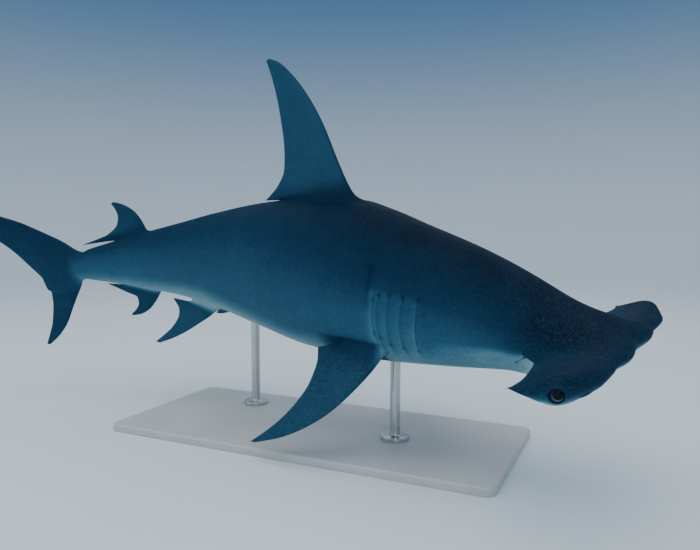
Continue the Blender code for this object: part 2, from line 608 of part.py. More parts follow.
def ball(radius, segments, rings, centre=(0, 0, 0), stretch=(1, 1, 1), turn=0.0):
    """A closed ball, stretched along each axis and turned about the upright one."""
    work = bmesh.new()
    bmesh.ops.create_uvsphere(work, u_segments=segments, v_segments=rings, radius=radius)
    c, k = math.cos(math.radians(turn)), math.sin(math.radians(turn))
    for vertex in work.verts:
        x, y, z = (vertex.co[i] * stretch[i] for i in range(3))
        vertex.co = Vector((x * c - y * k, x * k + y * c, z)) + Vector(centre)
    mesh = bpy.data.meshes.new("ball")
    work.to_mesh(mesh)
    work.free()
    return mesh


def tube(line, radius, sides=8, flat=1.0, closed=False):
    """A closed tube of changing radius along a line of plan points."""
    line = np.asarray(line, float)
    if closed:
        tangent = np.roll(line, -1, 0) - np.roll(line, 1, 0)
    else:
        tangent = np.gradient(line, axis=0)
    tangent /= np.linalg.norm(tangent, axis=1, keepdims=True)
    up = np.array((0.0, 0.0, 1.0)) if not closed else None
    if closed:
        centre = line.mean(0)
        normal = np.cross(line[0] - centre, line[1] - centre)
        up = normal / np.linalg.norm(normal)
    side = np.cross(tangent, up)
    side /= np.linalg.norm(side, axis=1, keepdims=True)
    lift = np.cross(side, tangent)
    angle = np.arange(sides) * 2 * np.pi / sides
    radius = np.broadcast_to(np.asarray(radius, float), (len(line),))
    points = (line[:, None] + radius[:, None, None]
              * (np.cos(angle)[None, :, None] * side[:, None]
                 + flat * np.sin(angle)[None, :, None] * lift[:, None]))
    count = len(line)
    index = np.arange(count * sides).reshape(count, sides)
    wrapped = np.hstack((index, index[:, :1]))
    if closed:
        triangles = grid_triangles(np.vstack((wrapped, wrapped[:1])))
        return closed_mesh("tube", points.reshape(-1, 3), triangles)
    triangles = [grid_triangles(wrapped), end_cap(index[0]), end_cap(index[-1])]
    return closed_mesh("tube", points.reshape(-1, 3), np.concatenate(triangles))


def surface_below(mesh, s, y):
    """Heights of a mesh's underside at plan points (s, y)."""
    tree = BVHTree.FromPolygons([v.co.copy() for v in mesh.vertices],
                                [tuple(p.vertices) for p in mesh.polygons])
    return np.array([tree.ray_cast(Vector((a, b, -30.0)), Vector((0, 0, 1)))[0].z
                     for a, b in zip(s, y)])


def mouth_line(mesh, points=25, shift=0.0):
    """The arch of the mouth on the underside: a half ellipse, open to the rear."""
    turn = np.linspace(-1, 1, points) * np.radians(MOUTH["reach"])
    depth = MOUTH["back"] - MOUTH["front"]
    s = MOUTH["front"] + shift + depth * (1 - np.cos(turn) ** MOUTH["flat"])
    y = MOUTH["half"] * np.sin(turn)
    return np.stack((s, y, surface_below(mesh, s, y)), -1), np.abs(turn) / turn.max()


def lid_ring(side, turn_points=20):
    """A lid round the eye: a ring facing outwards and a little forwards."""
    turn = np.arange(turn_points) * 2 * np.pi / turn_points
    s = EYE_CENTRE[0] + LID["radius"] * np.cos(turn)
    z = EYE_CENTRE[2] + LID["radius"] * np.sin(turn)
    y = EYE_CENTRE[1] + LID["out"] - LID["wrap"] * np.cos(turn) ** 2
    return np.stack((s, side * y, z), -1)


def head_with_features():
    """Adds the lids and lips to the head, then cuts mouth, nostrils and sockets."""
    head = head_mesh()
    line, end = mouth_line(head)
    taper = 1 - LIP_ENDS * end ** 3
    lips = []
    for shift, size in ((-LIPS["apart"], 0.9), (LIPS["apart"], 1.0)):
        lip, _ = mouth_line(head, shift=shift)
        lips.append(tube(lip + (0, 0, LIPS["out"]), LIPS["thick"] * size * taper))
    added = [tube(lid_ring(side), LID["thick"], closed=True) for side in (1, -1)]
    head = boolean(head, added + lips, "UNION")
    removed = [tube(line, MOUTH["width"] * taper, flat=MOUTH["slant"])]
    for side in (1, -1):
        s, y, z = NOSTRIL["point"]
        removed.append(ball(1.0, NOSTRIL_SEGMENTS, NOSTRIL_RINGS, (s, side * y, z),
                            NOSTRIL["size"], side * NOSTRIL["turn"]))
        s, y, z = EYE_CENTRE
        removed.append(ball(EYE_RADIUS + PLAN_GAP, EYE_SEGMENTS, EYE_RINGS, (s, side * y, z)))
    return boolean(head, removed, "DIFFERENCE")


# Stand -----------------------------------------------------------------------

BASE_SIZE = (1.30, 0.56, 0.025)
BASE_CORNER, BASE_BEVEL = 0.03, 0.006
ROD_RADIUS = 0.016
ROD_PLACES = {"stand_rod_front": ("shoulder", 24.0), "stand_rod_rear": ("torso_rear", 45.0)}
FLANGE_RADIUS, FLANGE_HEIGHT, FLANGE_FALL = 0.045, 0.012, 0.002
ROD_SIDES = 24
ROD_GAP = 0.0006


def stand_base(material):
    """A flat plate with rounded corners and a rounded upper edge."""
    work = bmesh.new()
    bmesh.ops.create_cube(work, size=1.0)
    bmesh.ops.scale(work, vec=BASE_SIZE, verts=work.verts)
    bmesh.ops.translate(work, vec=(0, 0, BASE_SIZE[2] / 2), verts=work.verts)
    upright = [e for e in work.edges if abs(e.verts[0].co.z - e.verts[1].co.z) > 1e-4]
    bmesh.ops.bevel(work, geom=upright, offset=BASE_CORNER, segments=6, profile=0.5, affect="EDGES")
    rim = [e for e in work.edges if min(v.co.z for v in e.verts) > BASE_SIZE[2] - 1e-5]
    bmesh.ops.bevel(work, geom=rim, offset=BASE_BEVEL, segments=2, profile=0.5, affect="EDGES")
    return solid("stand_base", work, material)


def solid(name, work, material):
    """Makes a closed bmesh the object of one node."""
    bmesh.ops.triangulate(work, faces=work.faces)
    bmesh.ops.recalc_face_normals(work, faces=work.faces)
    mesh = bpy.data.meshes.new(name)
    work.to_mesh(mesh)
    work.free()
    mesh.shade_smooth()
    mesh.set_sharp_from_angle(angle=math.radians(35))
    mesh.materials.append(material)
    node = bpy.data.objects.new(name, mesh)
    bpy.context.collection.objects.link(node)
    return node


def stand_rod(name, station, skin, material):
    """An upright rod with a flange; its top follows the belly above it."""
    belly = posed(body_point(station, np.pi)[None])[0]
    bottom = BASE_SIZE[2] + GAP
    turn = np.arange(ROD_SIDES) * 2 * np.pi / ROD_SIDES
    x = belly[0] + ROD_RADIUS * np.cos(turn)
    y = belly[1] + ROD_RADIUS * np.sin(turn)
    tops = [skin.ray_cast(Vector((a, b, 0.05)), Vector((0, 0, 1)))[0].z - ROD_GAP
            for a, b in zip(x, y)]
    middle = skin.ray_cast(Vector((belly[0], belly[1], 0.05)), Vector((0, 0, 1)))[0].z - ROD_GAP
    levels = [(FLANGE_RADIUS, bottom), (FLANGE_RADIUS, bottom + FLANGE_HEIGHT),
              (ROD_RADIUS, bottom + FLANGE_HEIGHT + FLANGE_FALL)]
    work = bmesh.new()
    rings = [[work.verts.new((belly[0] + r * math.cos(t), belly[1] + r * math.sin(t), z))
              for t in turn] for r, z in levels]
    rings.append([work.verts.new((a, b, z)) for a, b, z in zip(x, y, tops)])
    for low, high in zip(rings[:-1], rings[1:]):
        for i in range(ROD_SIDES):
            k = (i + 1) % ROD_SIDES
            work.faces.new((low[i], low[k], high[k], high[i]))
    work.faces.new(rings[0])
    centre = work.verts.new((belly[0], belly[1], middle))
    for i in range(ROD_SIDES):
        work.faces.new((rings[-1][i], rings[-1][(i + 1) % ROD_SIDES], centre))
    return solid(name, work, material)


# Assembly --------------------------------------------------------------------

def build():
    for item in list(bpy.data.objects):
        bpy.data.objects.remove(item)
    skin = principled("shark_skin", (0.10, 0.13, 0.14), 0.45)
    fin_skin = principled("fin_skin", (0.09, 0.12, 0.13), 0.5)
    eye = principled("eye", (0.02, 0.02, 0.02), 0.08)
    base_paint = principled("stand_paint", (0.62, 0.62, 0.60), 0.5)
    steel = principled("stand_steel", (0.60, 0.60, 0.60), 0.3, 1.0)

    place("head", head_with_features(), skin)
    nodes = {name: place(name, length_of_body(name), skin) for name in LENGTHS}
    for name, fin in FINS.items():
        mesh = fin_mesh(name, fin)
        if name in PAIRED:
            place(name + "_right", mirrored(mesh, name), fin_skin)
            place(name + "_left", mesh, fin_skin)
        else:
            place(name, mesh, fin_skin)
    for side, word in ((1, "left"), (-1, "right")):
        s, y, z = EYE_CENTRE
        place("eye_" + word, ball(EYE_RADIUS, EYE_SEGMENTS, EYE_RINGS, (s, side * y, z)), eye)

    stand_base(base_paint)
    for name, (carried, station) in ROD_PLACES.items():
        mesh = nodes[carried].data
        tree = BVHTree.FromPolygons([v.co.copy() for v in mesh.vertices],
                                    [tuple(p.vertices) for p in mesh.polygons])
        stand_rod(name, station, tree, steel)


build()
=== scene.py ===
"""Great hammerhead shark at life size on a display stand: the finished surfaces.

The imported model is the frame.  The skin is one closed surface, drawn on the same
straight body plan as the solids and then bent along the same spine.  The plan's unit
is a hundredth of the body's length: s runs back from the snout, y to the animal's
left, z up.  Surfaces are functions of two parameters on grids.  Where a fin, an eye,
a nostril, a gill slit or the mouth sits, a block of the grid is left open and rings of
points run from its edge to the feature, so that all of them grow out of one skin.
"""

import math

import bmesh
import bpy
import numpy as np
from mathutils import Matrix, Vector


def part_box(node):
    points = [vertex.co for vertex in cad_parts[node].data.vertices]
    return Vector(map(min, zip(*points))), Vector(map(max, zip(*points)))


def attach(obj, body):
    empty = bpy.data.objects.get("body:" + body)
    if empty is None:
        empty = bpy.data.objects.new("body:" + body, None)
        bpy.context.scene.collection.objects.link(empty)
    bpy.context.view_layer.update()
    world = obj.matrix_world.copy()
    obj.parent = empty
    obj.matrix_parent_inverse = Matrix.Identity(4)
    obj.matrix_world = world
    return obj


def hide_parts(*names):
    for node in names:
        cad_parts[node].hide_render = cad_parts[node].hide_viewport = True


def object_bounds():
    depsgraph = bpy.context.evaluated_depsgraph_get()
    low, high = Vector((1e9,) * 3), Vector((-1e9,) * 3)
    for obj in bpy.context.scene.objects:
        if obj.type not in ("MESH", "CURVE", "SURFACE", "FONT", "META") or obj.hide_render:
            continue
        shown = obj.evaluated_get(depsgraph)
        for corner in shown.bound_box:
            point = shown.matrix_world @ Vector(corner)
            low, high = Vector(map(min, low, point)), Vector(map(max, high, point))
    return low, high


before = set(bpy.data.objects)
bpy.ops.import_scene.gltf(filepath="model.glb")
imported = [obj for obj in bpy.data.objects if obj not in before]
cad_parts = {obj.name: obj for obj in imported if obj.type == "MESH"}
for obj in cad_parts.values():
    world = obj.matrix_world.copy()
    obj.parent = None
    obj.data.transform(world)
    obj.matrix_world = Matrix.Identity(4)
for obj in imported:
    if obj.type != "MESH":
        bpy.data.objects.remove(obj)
cad_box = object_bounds()

# Driving sizes, the same as the solids' ---------------------------------------

LENGTH = 3.10                       # metres, snout to tip of tail along the spine
UNIT = LENGTH / 100
HELD_AT = 30.0                      # the station whose place is given, and that place
HELD_POINT = (0.11, -0.01, 0.515)
YAW, PITCH, ROLL = -16.0, -3.3, 10.9    # degrees, of the stretch between neck and tail
NECK_START, NECK_END = 32.0, 4.0    # stations between which the neck turns
NECK_TURN = (5.4, -6.8, -4.6)       # yaw, pitch and roll that the neck adds, in degrees
TAIL_START, TAIL_RUN = 34.0, 42.0   # where the tail starts to turn, and over how long
TAIL_EASE, TAIL_MOST = 1.4, 1.3     # the power by which it turns, and up to how many runs
TAIL_TURN = (30.7, 8.8, -0.8)       # yaw, pitch and roll at the end of one run

# Body: station, top, bottom, half width; then by station how far a section's bottom
# lies behind its top, the share of its depth at which it is widest, and the powers of
# its superellipse above and below that
BODY = (
    (8.4, 2.70, -3.85, 5.00), (10.5, 3.56, -4.35, 4.80), (13.0, 4.40, -4.95, 5.20),
    (16.0, 5.28, -5.60, 5.70), (21.0, 6.60, -6.50, 6.25), (25.0, 7.80, -7.05, 6.45),
    (28.0, 8.45, -7.30, 6.50), (33.0, 8.50, -7.40, 6.40), (41.0, 7.80, -6.60, 5.60),
    (49.0, 6.50, -5.30, 4.40), (56.0, 5.10, -4.20, 3.30), (61.0, 4.15, -3.60, 2.60),
    (66.0, 3.20, -2.90, 2.00), (70.0, 2.40, -2.30, 1.60), (72.5, 1.95, -1.95, 1.35),
    (75.0, 3.60, -2.20, 0.95), (78.0, 5.40, -3.20, 0.72), (80.2, 6.70, -1.40, 0.60),
    (82.2, 7.65, 0.50, 0.54), (84.5, 8.70, 3.00, 0.50), (88.0, 10.20, 5.80, 0.46),
    (92.0, 11.90, 8.60, 0.40), (95.0, 13.10, 10.90, 0.34), (97.0, 13.90, 11.10, 0.28),
    (99.0, 14.70, 12.80, 0.20), (100.3, 15.20, 14.40, 0.10))
SWEEP = ((8.4, 0.0), (72.5, 0.0), (75.0, 0.25), (78.0, 0.3), (80.2, -1.2), (82.2, -1.8),
         (84.5, -2.2), (88.0, -2.7), (92.0, -2.6), (95.0, -2.2), (97.0, -1.6),
         (99.0, -0.4), (100.3, 0.0))
WIDEST = ((8.4, 0.62), (13.0, 0.57), (21.0, 0.53), (60.0, 0.50), (74.0, 0.50), (79.0, 0.38),
          (100.3, 0.38))
BACK_POWER = ((8.4, 2.1), (21.0, 1.95), (72.5, 2.0), (78.0, 1.8), (100.3, 1.8))
BELLY_POWER = ((8.4, 2.4), (21.0, 2.3), (45.0, 2.2), (72.5, 2.0), (78.0, 1.8), (100.3, 1.8))

# Hammer: its outline seen from above as (y, s), and its height above and below
FRONT_MARGIN = ((0.0, 1.38), (1.2, 1.18), (3.0, 0.98), (4.4, 1.13), (5.5, 1.33), (6.8, 1.26),
                (8.8, 1.30), (10.2, 1.70), (11.2, 2.12), (12.06, 2.62))
REAR_MARGIN = ((5.0, 8.40), (5.7, 7.59), (6.8, 6.89), (8.2, 6.41), (9.7, 6.15),
               (11.2, 6.02), (12.6, 6.16), (13.05, 6.33))
END_MARGIN = ((2.62, 12.06), (3.10, 12.60), (3.85, 12.88), (4.79, 12.99), (5.63, 13.12),
              (6.33, 13.05))
HAMMER_ABOVE = ((0.0, 1.50), (3.0, 1.30), (5.5, 1.05), (8.0, 1.01), (10.5, 1.35),
                (12.5, 1.60), (14.0, 1.54))
HAMMER_BELOW = ((0.0, 1.90), (3.0, 1.65), (5.5, 1.30), (8.0, 1.27), (10.5, 1.38),
                (12.5, 1.43), (14.0, 1.38))
HAMMER_DROOP, HAMMER_TILT = 0.156, 0.136    # fall of its middle plane outwards and back
HAMMER_HIGH, HAMMER_FROM = 0.1, 2.0     # height of that plane, and at which station
ARMPIT = 8.4                        # station where a lobe's rear edge meets the neck
SPREAD = 6.0                        # half the front margin that belongs to the neck
NOSE_SHARE = 0.58                   # share of the way back over which the front is rounded
REAR_EASE = 1.6                     # power by which the height fades to the rear edge
END_ROUND = 0.81                    # share of a lobe from which its end is rounded
END_BLEND = 0.55                    # share of a lobe from which its end curve takes over
NECK_MERGE = 0.45                   # share of a lobe over which its rear edge leaves the neck
ARMPIT_FADE = 12                    # how close to the armpit the neck's smooth joint reaches
EDGE_SHARE = 0.06                   # share of the height that rounds a lobe's rear edge
TAIL_TIP = 100.3

# Resolution
AROUND = 160                        # points round the body
ROWS = 56                           # steps from the hammer's front margin to its rear
LOBE_FLAT, LOBE_ROUND = 18, 18      # columns on a lobe, and round its end
ROOT_COLUMNS = 32                   # columns round the body that FINS counts in
# By station, the step from ring to ring
STEPS = ((8.4, 0.22), (11.0, 0.4), (16.6, 0.4), (17.0, 0.125), (22.5, 0.125), (23.0, 0.5),
         (72.0, 0.5), (73.0, 0.4), (100.3, 0.4))

# Features of the head and the gills
EYE_CENTRE, EYE_RADIUS = (3.33, 12.38, -0.39), 0.57
EYE_FORWARD = 24.0                  # degrees the eye faces forwards of straight out
MOUTH = dict(front=6.5, back=9.8, half=3.5)     # the arch's stations and half width
# Gill slits: station, and the angles from the back's ridge at which each starts and ends
GILL_SLITS = ((17.5, 72.0, 118.0), (18.9, 73.0, 117.0), (20.2, 74.0, 115.0),
              (21.2, 76.0, 109.0), (21.7, 80.0, 106.0))
GILL_HALF = 0.25                    # half width of the block of skin round a slit

# Fins: root stations, column round the body, the root's point and the span's direction
# in the (y, z) plane, half thickness at root and tip, margins as (share of span, s, out),
# the share of the span where the free rear tip lies, the block of skin ahead, behind and
# each side (columns) of the root, and the tone of the outer or upper face and the lower.
UP, DOWN = (0.0, 1.0), (0.0, -1.0)
FINS = {
    "dorsal_first": dict(
        root=(27.9, 38.4), column=0, point=(0.0, 0.0), span=UP, thick=(0.85, 0.10), rear_tip=0.14,
        room=(2.2, 0.5, 6), tone=(0.40, 0.40),
        lead=((0, 27.9, 8.5), (0.14, 28.9, 10.2), (0.28, 29.9, 12.4), (0.5, 31.4, 16.0),
              (0.7, 33.2, 18.9), (0.85, 35.2, 21.1), (0.94, 36.8, 22.3), (1, 38.1, 22.75)),
        inner=((0, 38.4, 8.15), (0.14, 41.0, 8.0)),
        trail=((0.14, 41.0, 8.0), (0.22, 38.9, 9.6), (0.33, 37.6, 11.4), (0.5, 37.2, 14.4),
               (0.7, 37.4, 17.8), (0.85, 37.8, 20.2), (0.94, 38.2, 21.7), (1, 38.5, 22.55))),
    "dorsal_second": dict(
        root=(61.2, 66.4), column=0, point=(0.0, 0.0), span=UP, thick=(0.42, 0.08), rear_tip=0.2,
        room=(0.9, 0.4, 8), tone=(0.31, 0.31),
        lead=((0, 61.2, 4.1), (0.2, 61.6, 5.2), (0.45, 62.5, 6.6), (0.7, 63.7, 7.5),
              (0.88, 64.9, 8.0), (1, 65.9, 8.2)),
        inner=((0, 66.4, 3.15), (0.2, 72.1, 2.75)),
        trail=((0.2, 72.1, 2.75), (0.32, 67.8, 3.9), (0.5, 65.9, 5.2), (0.7, 65.5, 6.4),
               (0.88, 65.8, 7.4), (1, 66.2, 8.0))),
    "anal": dict(
        root=(60.4, 65.6), column=16, point=(0.0, 0.0), span=DOWN, thick=(0.40, 0.08),
        rear_tip=0.2, room=(0.9, 0.4, 8), tone=(0.31, 0.31),
        lead=((0, 60.4, 3.65), (0.2, 61.0, 4.4), (0.45, 62.0, 5.5), (0.7, 63.3, 6.55),
              (0.88, 64.8, 7.15), (1, 66.0, 7.3)),
        inner=((0, 65.6, 2.98), (0.2, 69.3, 2.7)),
        trail=((0.2, 69.3, 2.7), (0.34, 66.4, 4.0), (0.5, 64.8, 4.7), (0.7, 64.7, 5.5),
               (0.88, 65.3, 6.4), (1, 66.3, 7.15))),
    "caudal_lower": dict(
        root=(73.0, 78.0), column=16, point=(0.0, 0.0), span=DOWN, thick=(0.52, 0.08),
        rear_tip=0.06, room=(0.7, 0.4, 12), tone=(0.28, 0.28),
        lead=((0, 73.0, 2.0), (0.06, 73.3, 2.6), (0.25, 74.4, 4.2), (0.45, 75.6, 6.0),
              (0.65, 76.9, 8.0), (0.85, 78.7, 9.8), (1, 80.4, 10.95)),
        inner=((0, 78.3, 3.2), (0.06, 78.25, 3.6)),
        trail=((0.06, 78.25, 3.6), (0.25, 78.4, 4.9), (0.45, 78.8, 6.4), (0.65, 79.3, 7.9),
               (0.85, 80.2, 9.6), (1, 80.9, 10.85))),
    "pectoral": dict(
        root=(21.2, 26.2), column=11, point=(4.9, -4.2), span=(0.707, -0.707),
        thick=(0.62, 0.08), rear_tip=0.14, room=(0.55, 0.5, 5), tone=(0.32, 0.86),
        lead=((0, 21.2, 0.0), (0.14, 21.6, 1.8), (0.38, 22.9, 4.9), (0.58, 24.2, 7.0),
              (0.75, 25.8, 8.7), (0.9, 28.3, 10.5), (1, 31.3, 11.9)),
        inner=((0, 26.2, 0.2), (0.14, 29.2, 1.3)),
        trail=((0.14, 29.2, 1.3), (0.28, 28.4, 3.0), (0.45, 28.2, 5.0), (0.62, 28.6, 6.9),
               (0.8, 29.7, 9.2), (0.92, 31.0, 10.9), (1, 32.0, 12.0))),
    "pelvic": dict(
        root=(48.7, 53.0), column=13, point=(2.4, -4.8), span=(0.68, -0.733),
        thick=(0.40, 0.07), rear_tip=0.2, room=(0.6, 0.4, 5), tone=(0.35, 0.80),
        lead=((0, 48.7, 0.0), (0.2, 49.5, 1.0), (0.45, 50.9, 2.2), (0.7, 52.6, 3.5),
              (0.88, 54.4, 4.5), (1, 56.2, 5.2)),
        inner=((0, 53.0, -0.5), (0.2, 57.0, -0.9)),
        trail=((0.2, 57.0, -0.9), (0.36, 55.2, 0.6), (0.52, 54.8, 1.7), (0.7, 55.1, 2.9),
               (0.88, 56.0, 4.1), (1, 57.0, 5.1))),
}
PAIRED = ("pectoral", "pelvic")
FLARE = 0.16                        # share of the span over which a root widens

# Camera and room -------------------------------------------------------------

FRAME_WIDTH = 700                   # pixels
FOCAL_PIXELS = 644.7                # focal length in those pixels
SENSOR = 36.0                       # millimetres
CAMERA_PLACE = (0.989, -1.870, 0.693)
CAMERA_AZIMUTH, CAMERA_DOWN = 25.0, 4.43    # degrees


def add_camera():
    """The camera: put in place, tilted down from level and turned about the upright."""
    data = bpy.data.cameras.new("camera")
    data.sensor_fit = "HORIZONTAL"
    data.sensor_width = SENSOR
    data.lens = FOCAL_PIXELS / FRAME_WIDTH * SENSOR
    camera = bpy.data.objects.new("camera", data)
    camera.location = CAMERA_PLACE
    camera.rotation_euler = (math.radians(90 - CAMERA_DOWN), 0.0, math.radians(CAMERA_AZIMUTH))
    bpy.context.scene.collection.objects.link(camera)
    bpy.context.scene.camera = camera


LAMPS = {                           # place, aimed at, width, height, watts
    "overhead": ((-0.2, -0.6, 4.6), (-0.3, 0.0, 0.4), 5.0, 4.0, 75.0),
    "key": ((2.6, -3.6, 2.6), (0.2, 0.0, 0.5), 3.0, 2.6, 40.0),
    "fill": ((-3.6, -3.0, 1.8), (-0.4, 0.0, 0.5), 3.0, 2.6, 30.0),
    "back": ((-0.6, 3.6, 2.8), (0.0, 0.0, 0.6), 3.0, 1.8, 12.0),
}
WORLD_LIGHT = (0.80, 0.86, 0.92)
WORLD_STRENGTH = 1.0


def add_lights():
    """Soft rectangular lamps, each turned and tilted to face its aim, in an even light."""
    for name, (place, aim, width, height, watts) in LAMPS.items():
        data = bpy.data.lights.new(name, "AREA")
        data.shape = "RECTANGLE"
        data.size, data.size_y, data.energy = width, height, watts
        lamp = bpy.data.objects.new(name, data)
        lamp.location = place
        x, y, z = np.array(aim) - np.array(place)
        lamp.rotation_euler = (math.atan2(z, math.hypot(x, y)) + math.pi / 2, 0.0,
                               math.atan2(y, x) - math.pi / 2)
        bpy.context.scene.collection.objects.link(lamp)
    world = bpy.data.worlds.new("studio")
    world.use_nodes = True
    background = world.node_tree.nodes["Background"]
    background.inputs["Color"].default_value = (*WORLD_LIGHT, 1.0)
    background.inputs["Strength"].default_value = WORLD_STRENGTH
    bpy.context.scene.world = world


FLOOR_FLAT, FLOOR_CURVE = 7.0, 6.0  # radius of the flat floor and of the rise round it
FLOOR_RINGS = (0.0, 2.0, 4.0, 6.0)  # radii of the rings on the flat part
FLOOR_SIDES, RISE_STEPS = 128, 16
WALL_TOP = 9.0


def add_floor(material):
    """A disc that curves up all round: a profile of (radius, height) turned about the
    upright axis, flat out to FLOOR_FLAT, then a quarter circle of radius FLOOR_CURVE and
    a wall up to WALL_TOP."""
    rise = np.linspace(0, np.pi / 2, RISE_STEPS + 1)
    radius = np.concatenate((FLOOR_RINGS, FLOOR_FLAT + FLOOR_CURVE * np.sin(rise),
                             [FLOOR_FLAT + FLOOR_CURVE]))
    height = np.concatenate((np.zeros(len(FLOOR_RINGS)), FLOOR_CURVE * (1 - np.cos(rise)),
                             [WALL_TOP]))
    grid = turned(np.stack((radius, height), -1), (0.0, 0.0), FLOOR_SIDES)
    mesh, points, _ = weld([quads(grid, closed=True)], dist=1e-6)
    floor = mesh_object("floor", mesh, points, material)


# Curves ------------------------------------------------------------------------

def along(table, x, column=1):
    """Monotone cubic through a table's points: between two of them a cubic with their
    slopes, each slope the harmonic mean of its neighbours', so it never overshoots."""
    points = np.array(table, dtype=float)
    xs, ys = points[:, 0], points[:, column]
    x = np.clip(x, xs[0], xs[-1])
    step = np.diff(xs)
    slope = np.diff(ys) / step
    tangent = np.zeros_like(ys)
    same = slope[:-1] * slope[1:] > 0
    w1, w2 = 2 * step[1:] + step[:-1], step[1:] + 2 * step[:-1]
    inner = np.zeros_like(slope[1:])
    inner[same] = (w1 + w2)[same] / (w1[same] / slope[:-1][same] + w2[same] / slope[1:][same])
    tangent[1:-1] = inner
    tangent[0], tangent[-1] = slope[0], slope[-1]
    i = np.clip(np.searchsorted(xs, x, side="right") - 1, 0, len(step) - 1)
    h = step[i]
    t = (x - xs[i]) / h
    return ((1 + 2 * t) * (1 - t) ** 2 * ys[i] + t * (1 - t) ** 2 * h * tangent[i]
            + t * t * (3 - 2 * t) * ys[i + 1] + t * t * (t - 1) * h * tangent[i + 1])


def smoothstep(x):
    """Eases from 0 at 0 to 1 at 1: three times the square less twice the cube."""
    x = np.clip(x, 0.0, 1.0)
    return x * x * (3 - 2 * x)


def between(x, start, end, rise, fall):
    """1 between start and end: eases in over rise and out again over fall."""
    return smoothstep((x - start) / rise) * smoothstep((end - x) / fall)


def bump(x, centre, width):
    """A bell of height 1."""
    return np.exp(-((x - centre) / width) ** 2)


def bezier(p0, pm, p1, t):
    """Quadratic curve from p0 towards pm and on to p1."""
    t = np.asarray(t)[:, None, None]
    return p0 * (1 - t) ** 2 + pm * 2 * t * (1 - t) + p1 * t * t


def turned(profile, centre, sides=64):
    """A profile of (radius, height) turned about an upright axis through centre."""
    profile = np.asarray(profile, float)
    turn = np.linspace(0, 2 * np.pi, sides + 1)[:-1]
    return np.stack((centre[0] + profile[:, :1] * np.cos(turn),
                     centre[1] + profile[:, :1] * np.sin(turn),
                     np.broadcast_to(profile[:, 1:], (len(profile), sides))), -1)


def find(surface, a, b, target):
    """The two parameters at which a surface has the target's first two coordinates, from
    a first guess: Newton's method on whole arrays, with slopes from small steps."""
    tiny = 1e-5
    for _ in range(20):
        here = surface(a, b)[..., :2]
        slope_a = (surface(a + tiny, b)[..., :2] - here) / tiny
        slope_b = (surface(a, b + tiny)[..., :2] - here) / tiny
        miss = target - here
        area = slope_a[..., 0] * slope_b[..., 1] - slope_a[..., 1] * slope_b[..., 0]
        a = a + (miss[..., 0] * slope_b[..., 1] - miss[..., 1] * slope_b[..., 0]) / area
        b = b + (slope_a[..., 0] * miss[..., 1] - slope_a[..., 1] * miss[..., 0]) / area
    return a, b


# The spine ---------------------------------------------------------------------

def spine_axes(s):
    """Forward, left and up of the spine at each station s, as unit rows: yaw, pitch and
    roll are the held ones plus the neck's turn, eased in, and the tail's, by a power."""
    neck = smoothstep((NECK_START - s) / (NECK_START - NECK_END))
    tail = np.clip((s - TAIL_START) / TAIL_RUN, 0.0, TAIL_MOST) ** TAIL_EASE
    yaw, pitch, roll = (np.radians(mid + turn_n * neck + turn_t * tail) for mid, turn_n, turn_t
                        in zip((YAW, PITCH, ROLL), NECK_TURN, TAIL_TURN))
    flat = np.zeros_like(yaw)
    forward = np.stack((np.cos(pitch) * np.cos(yaw), np.cos(pitch) * np.sin(yaw),
                        np.sin(pitch)), -1)
    level_left = np.stack((-np.sin(yaw), np.cos(yaw), flat), -1)
    level_up = np.cross(forward, level_left)
    cosine, sine = np.cos(roll)[..., None], np.sin(roll)[..., None]
    return (forward, level_left * cosine + level_up * sine,
            level_up * cosine - level_left * sine)


SPINE_S = np.linspace(-2.0, 104.0, 1061)    # ten to a unit, and a little past both ends
SPINE_FORWARD, SPINE_LEFT, SPINE_UP = spine_axes(SPINE_S)


def spine_points():
    """The spine's line: its forward direction summed backwards from the snout."""
    step = (SPINE_S[1] - SPINE_S[0]) * UNIT
    middle = (SPINE_FORWARD[1:] + SPINE_FORWARD[:-1]) / 2
    line = np.vstack((np.zeros(3), -np.cumsum(middle * step, axis=0)))
    held = [np.interp(HELD_AT, SPINE_S, line[:, k]) for k in range(3)]
    return line + (np.array(HELD_POINT) - held)


SPINE_LINE = spine_points()


def posed(plan):
    """Carries body-plan points (s, y, z) to their place: line + y left + z up."""
    plan = np.asarray(plan, dtype=float)
    s = plan[..., 0]
    line, left, up = (np.stack([np.interp(s, SPINE_S, rows[:, k]) for k in range(3)], -1)
                      for rows in (SPINE_LINE, SPINE_LEFT, SPINE_UP))
    return line + (left * plan[..., 1:2] + up * plan[..., 2:3]) * UNIT


# Meshes ------------------------------------------------------------------------

# What each skin point carries: how much painted shade it gets in slits, on lids and in
# sockets, how pale a rim (with the painted highlight under each nostril), whether it is on a
# fin, the fin's tone, where it lies on the chord and the span, and the hammer's sheet (1 on
# top, -1 underneath, 0 elsewhere)
VALUES = ("hollow_shade", "rim", "fin", "tone", "chord", "span", "sheet")
HOLLOW_SHADE, RIM, FIN, TONE, CHORD, SPAN, SHEET = range(len(VALUES))


def blank(points):
    """The values of a grid of points, all 0."""
    return np.zeros(points.shape[:2] + (len(VALUES),))


def quads(grid, keep=None, closed=False, values=None):
    """A grid of points as (points, faces, values): each cell is one quad, those with
    keep False are left out, and closed joins the last column to the first."""
    rows, columns = grid.shape[:2]
    index = np.arange(rows * columns).reshape(rows, columns)
    if closed:
        index = np.hstack((index, index[:, :1]))
    cells = np.stack((index[:-1, :-1], index[1:, :-1], index[1:, 1:], index[:-1, 1:]), -1)
    cells = cells.reshape(-1, 4) if keep is None else cells[keep]
    values = blank(grid) if values is None else values
    return grid.reshape(-1, 3), cells, values.reshape(-1, len(VALUES))


def attribute(mesh, name, values):
    """Gives every point a number, or three, that a material can read by name."""
    kind, field = ("FLOAT", "value") if values.ndim == 1 else ("FLOAT_VECTOR", "vector")
    mesh.attributes.new(name, kind, "POINT").data.foreach_set(
        field, values.astype(np.float32).ravel())


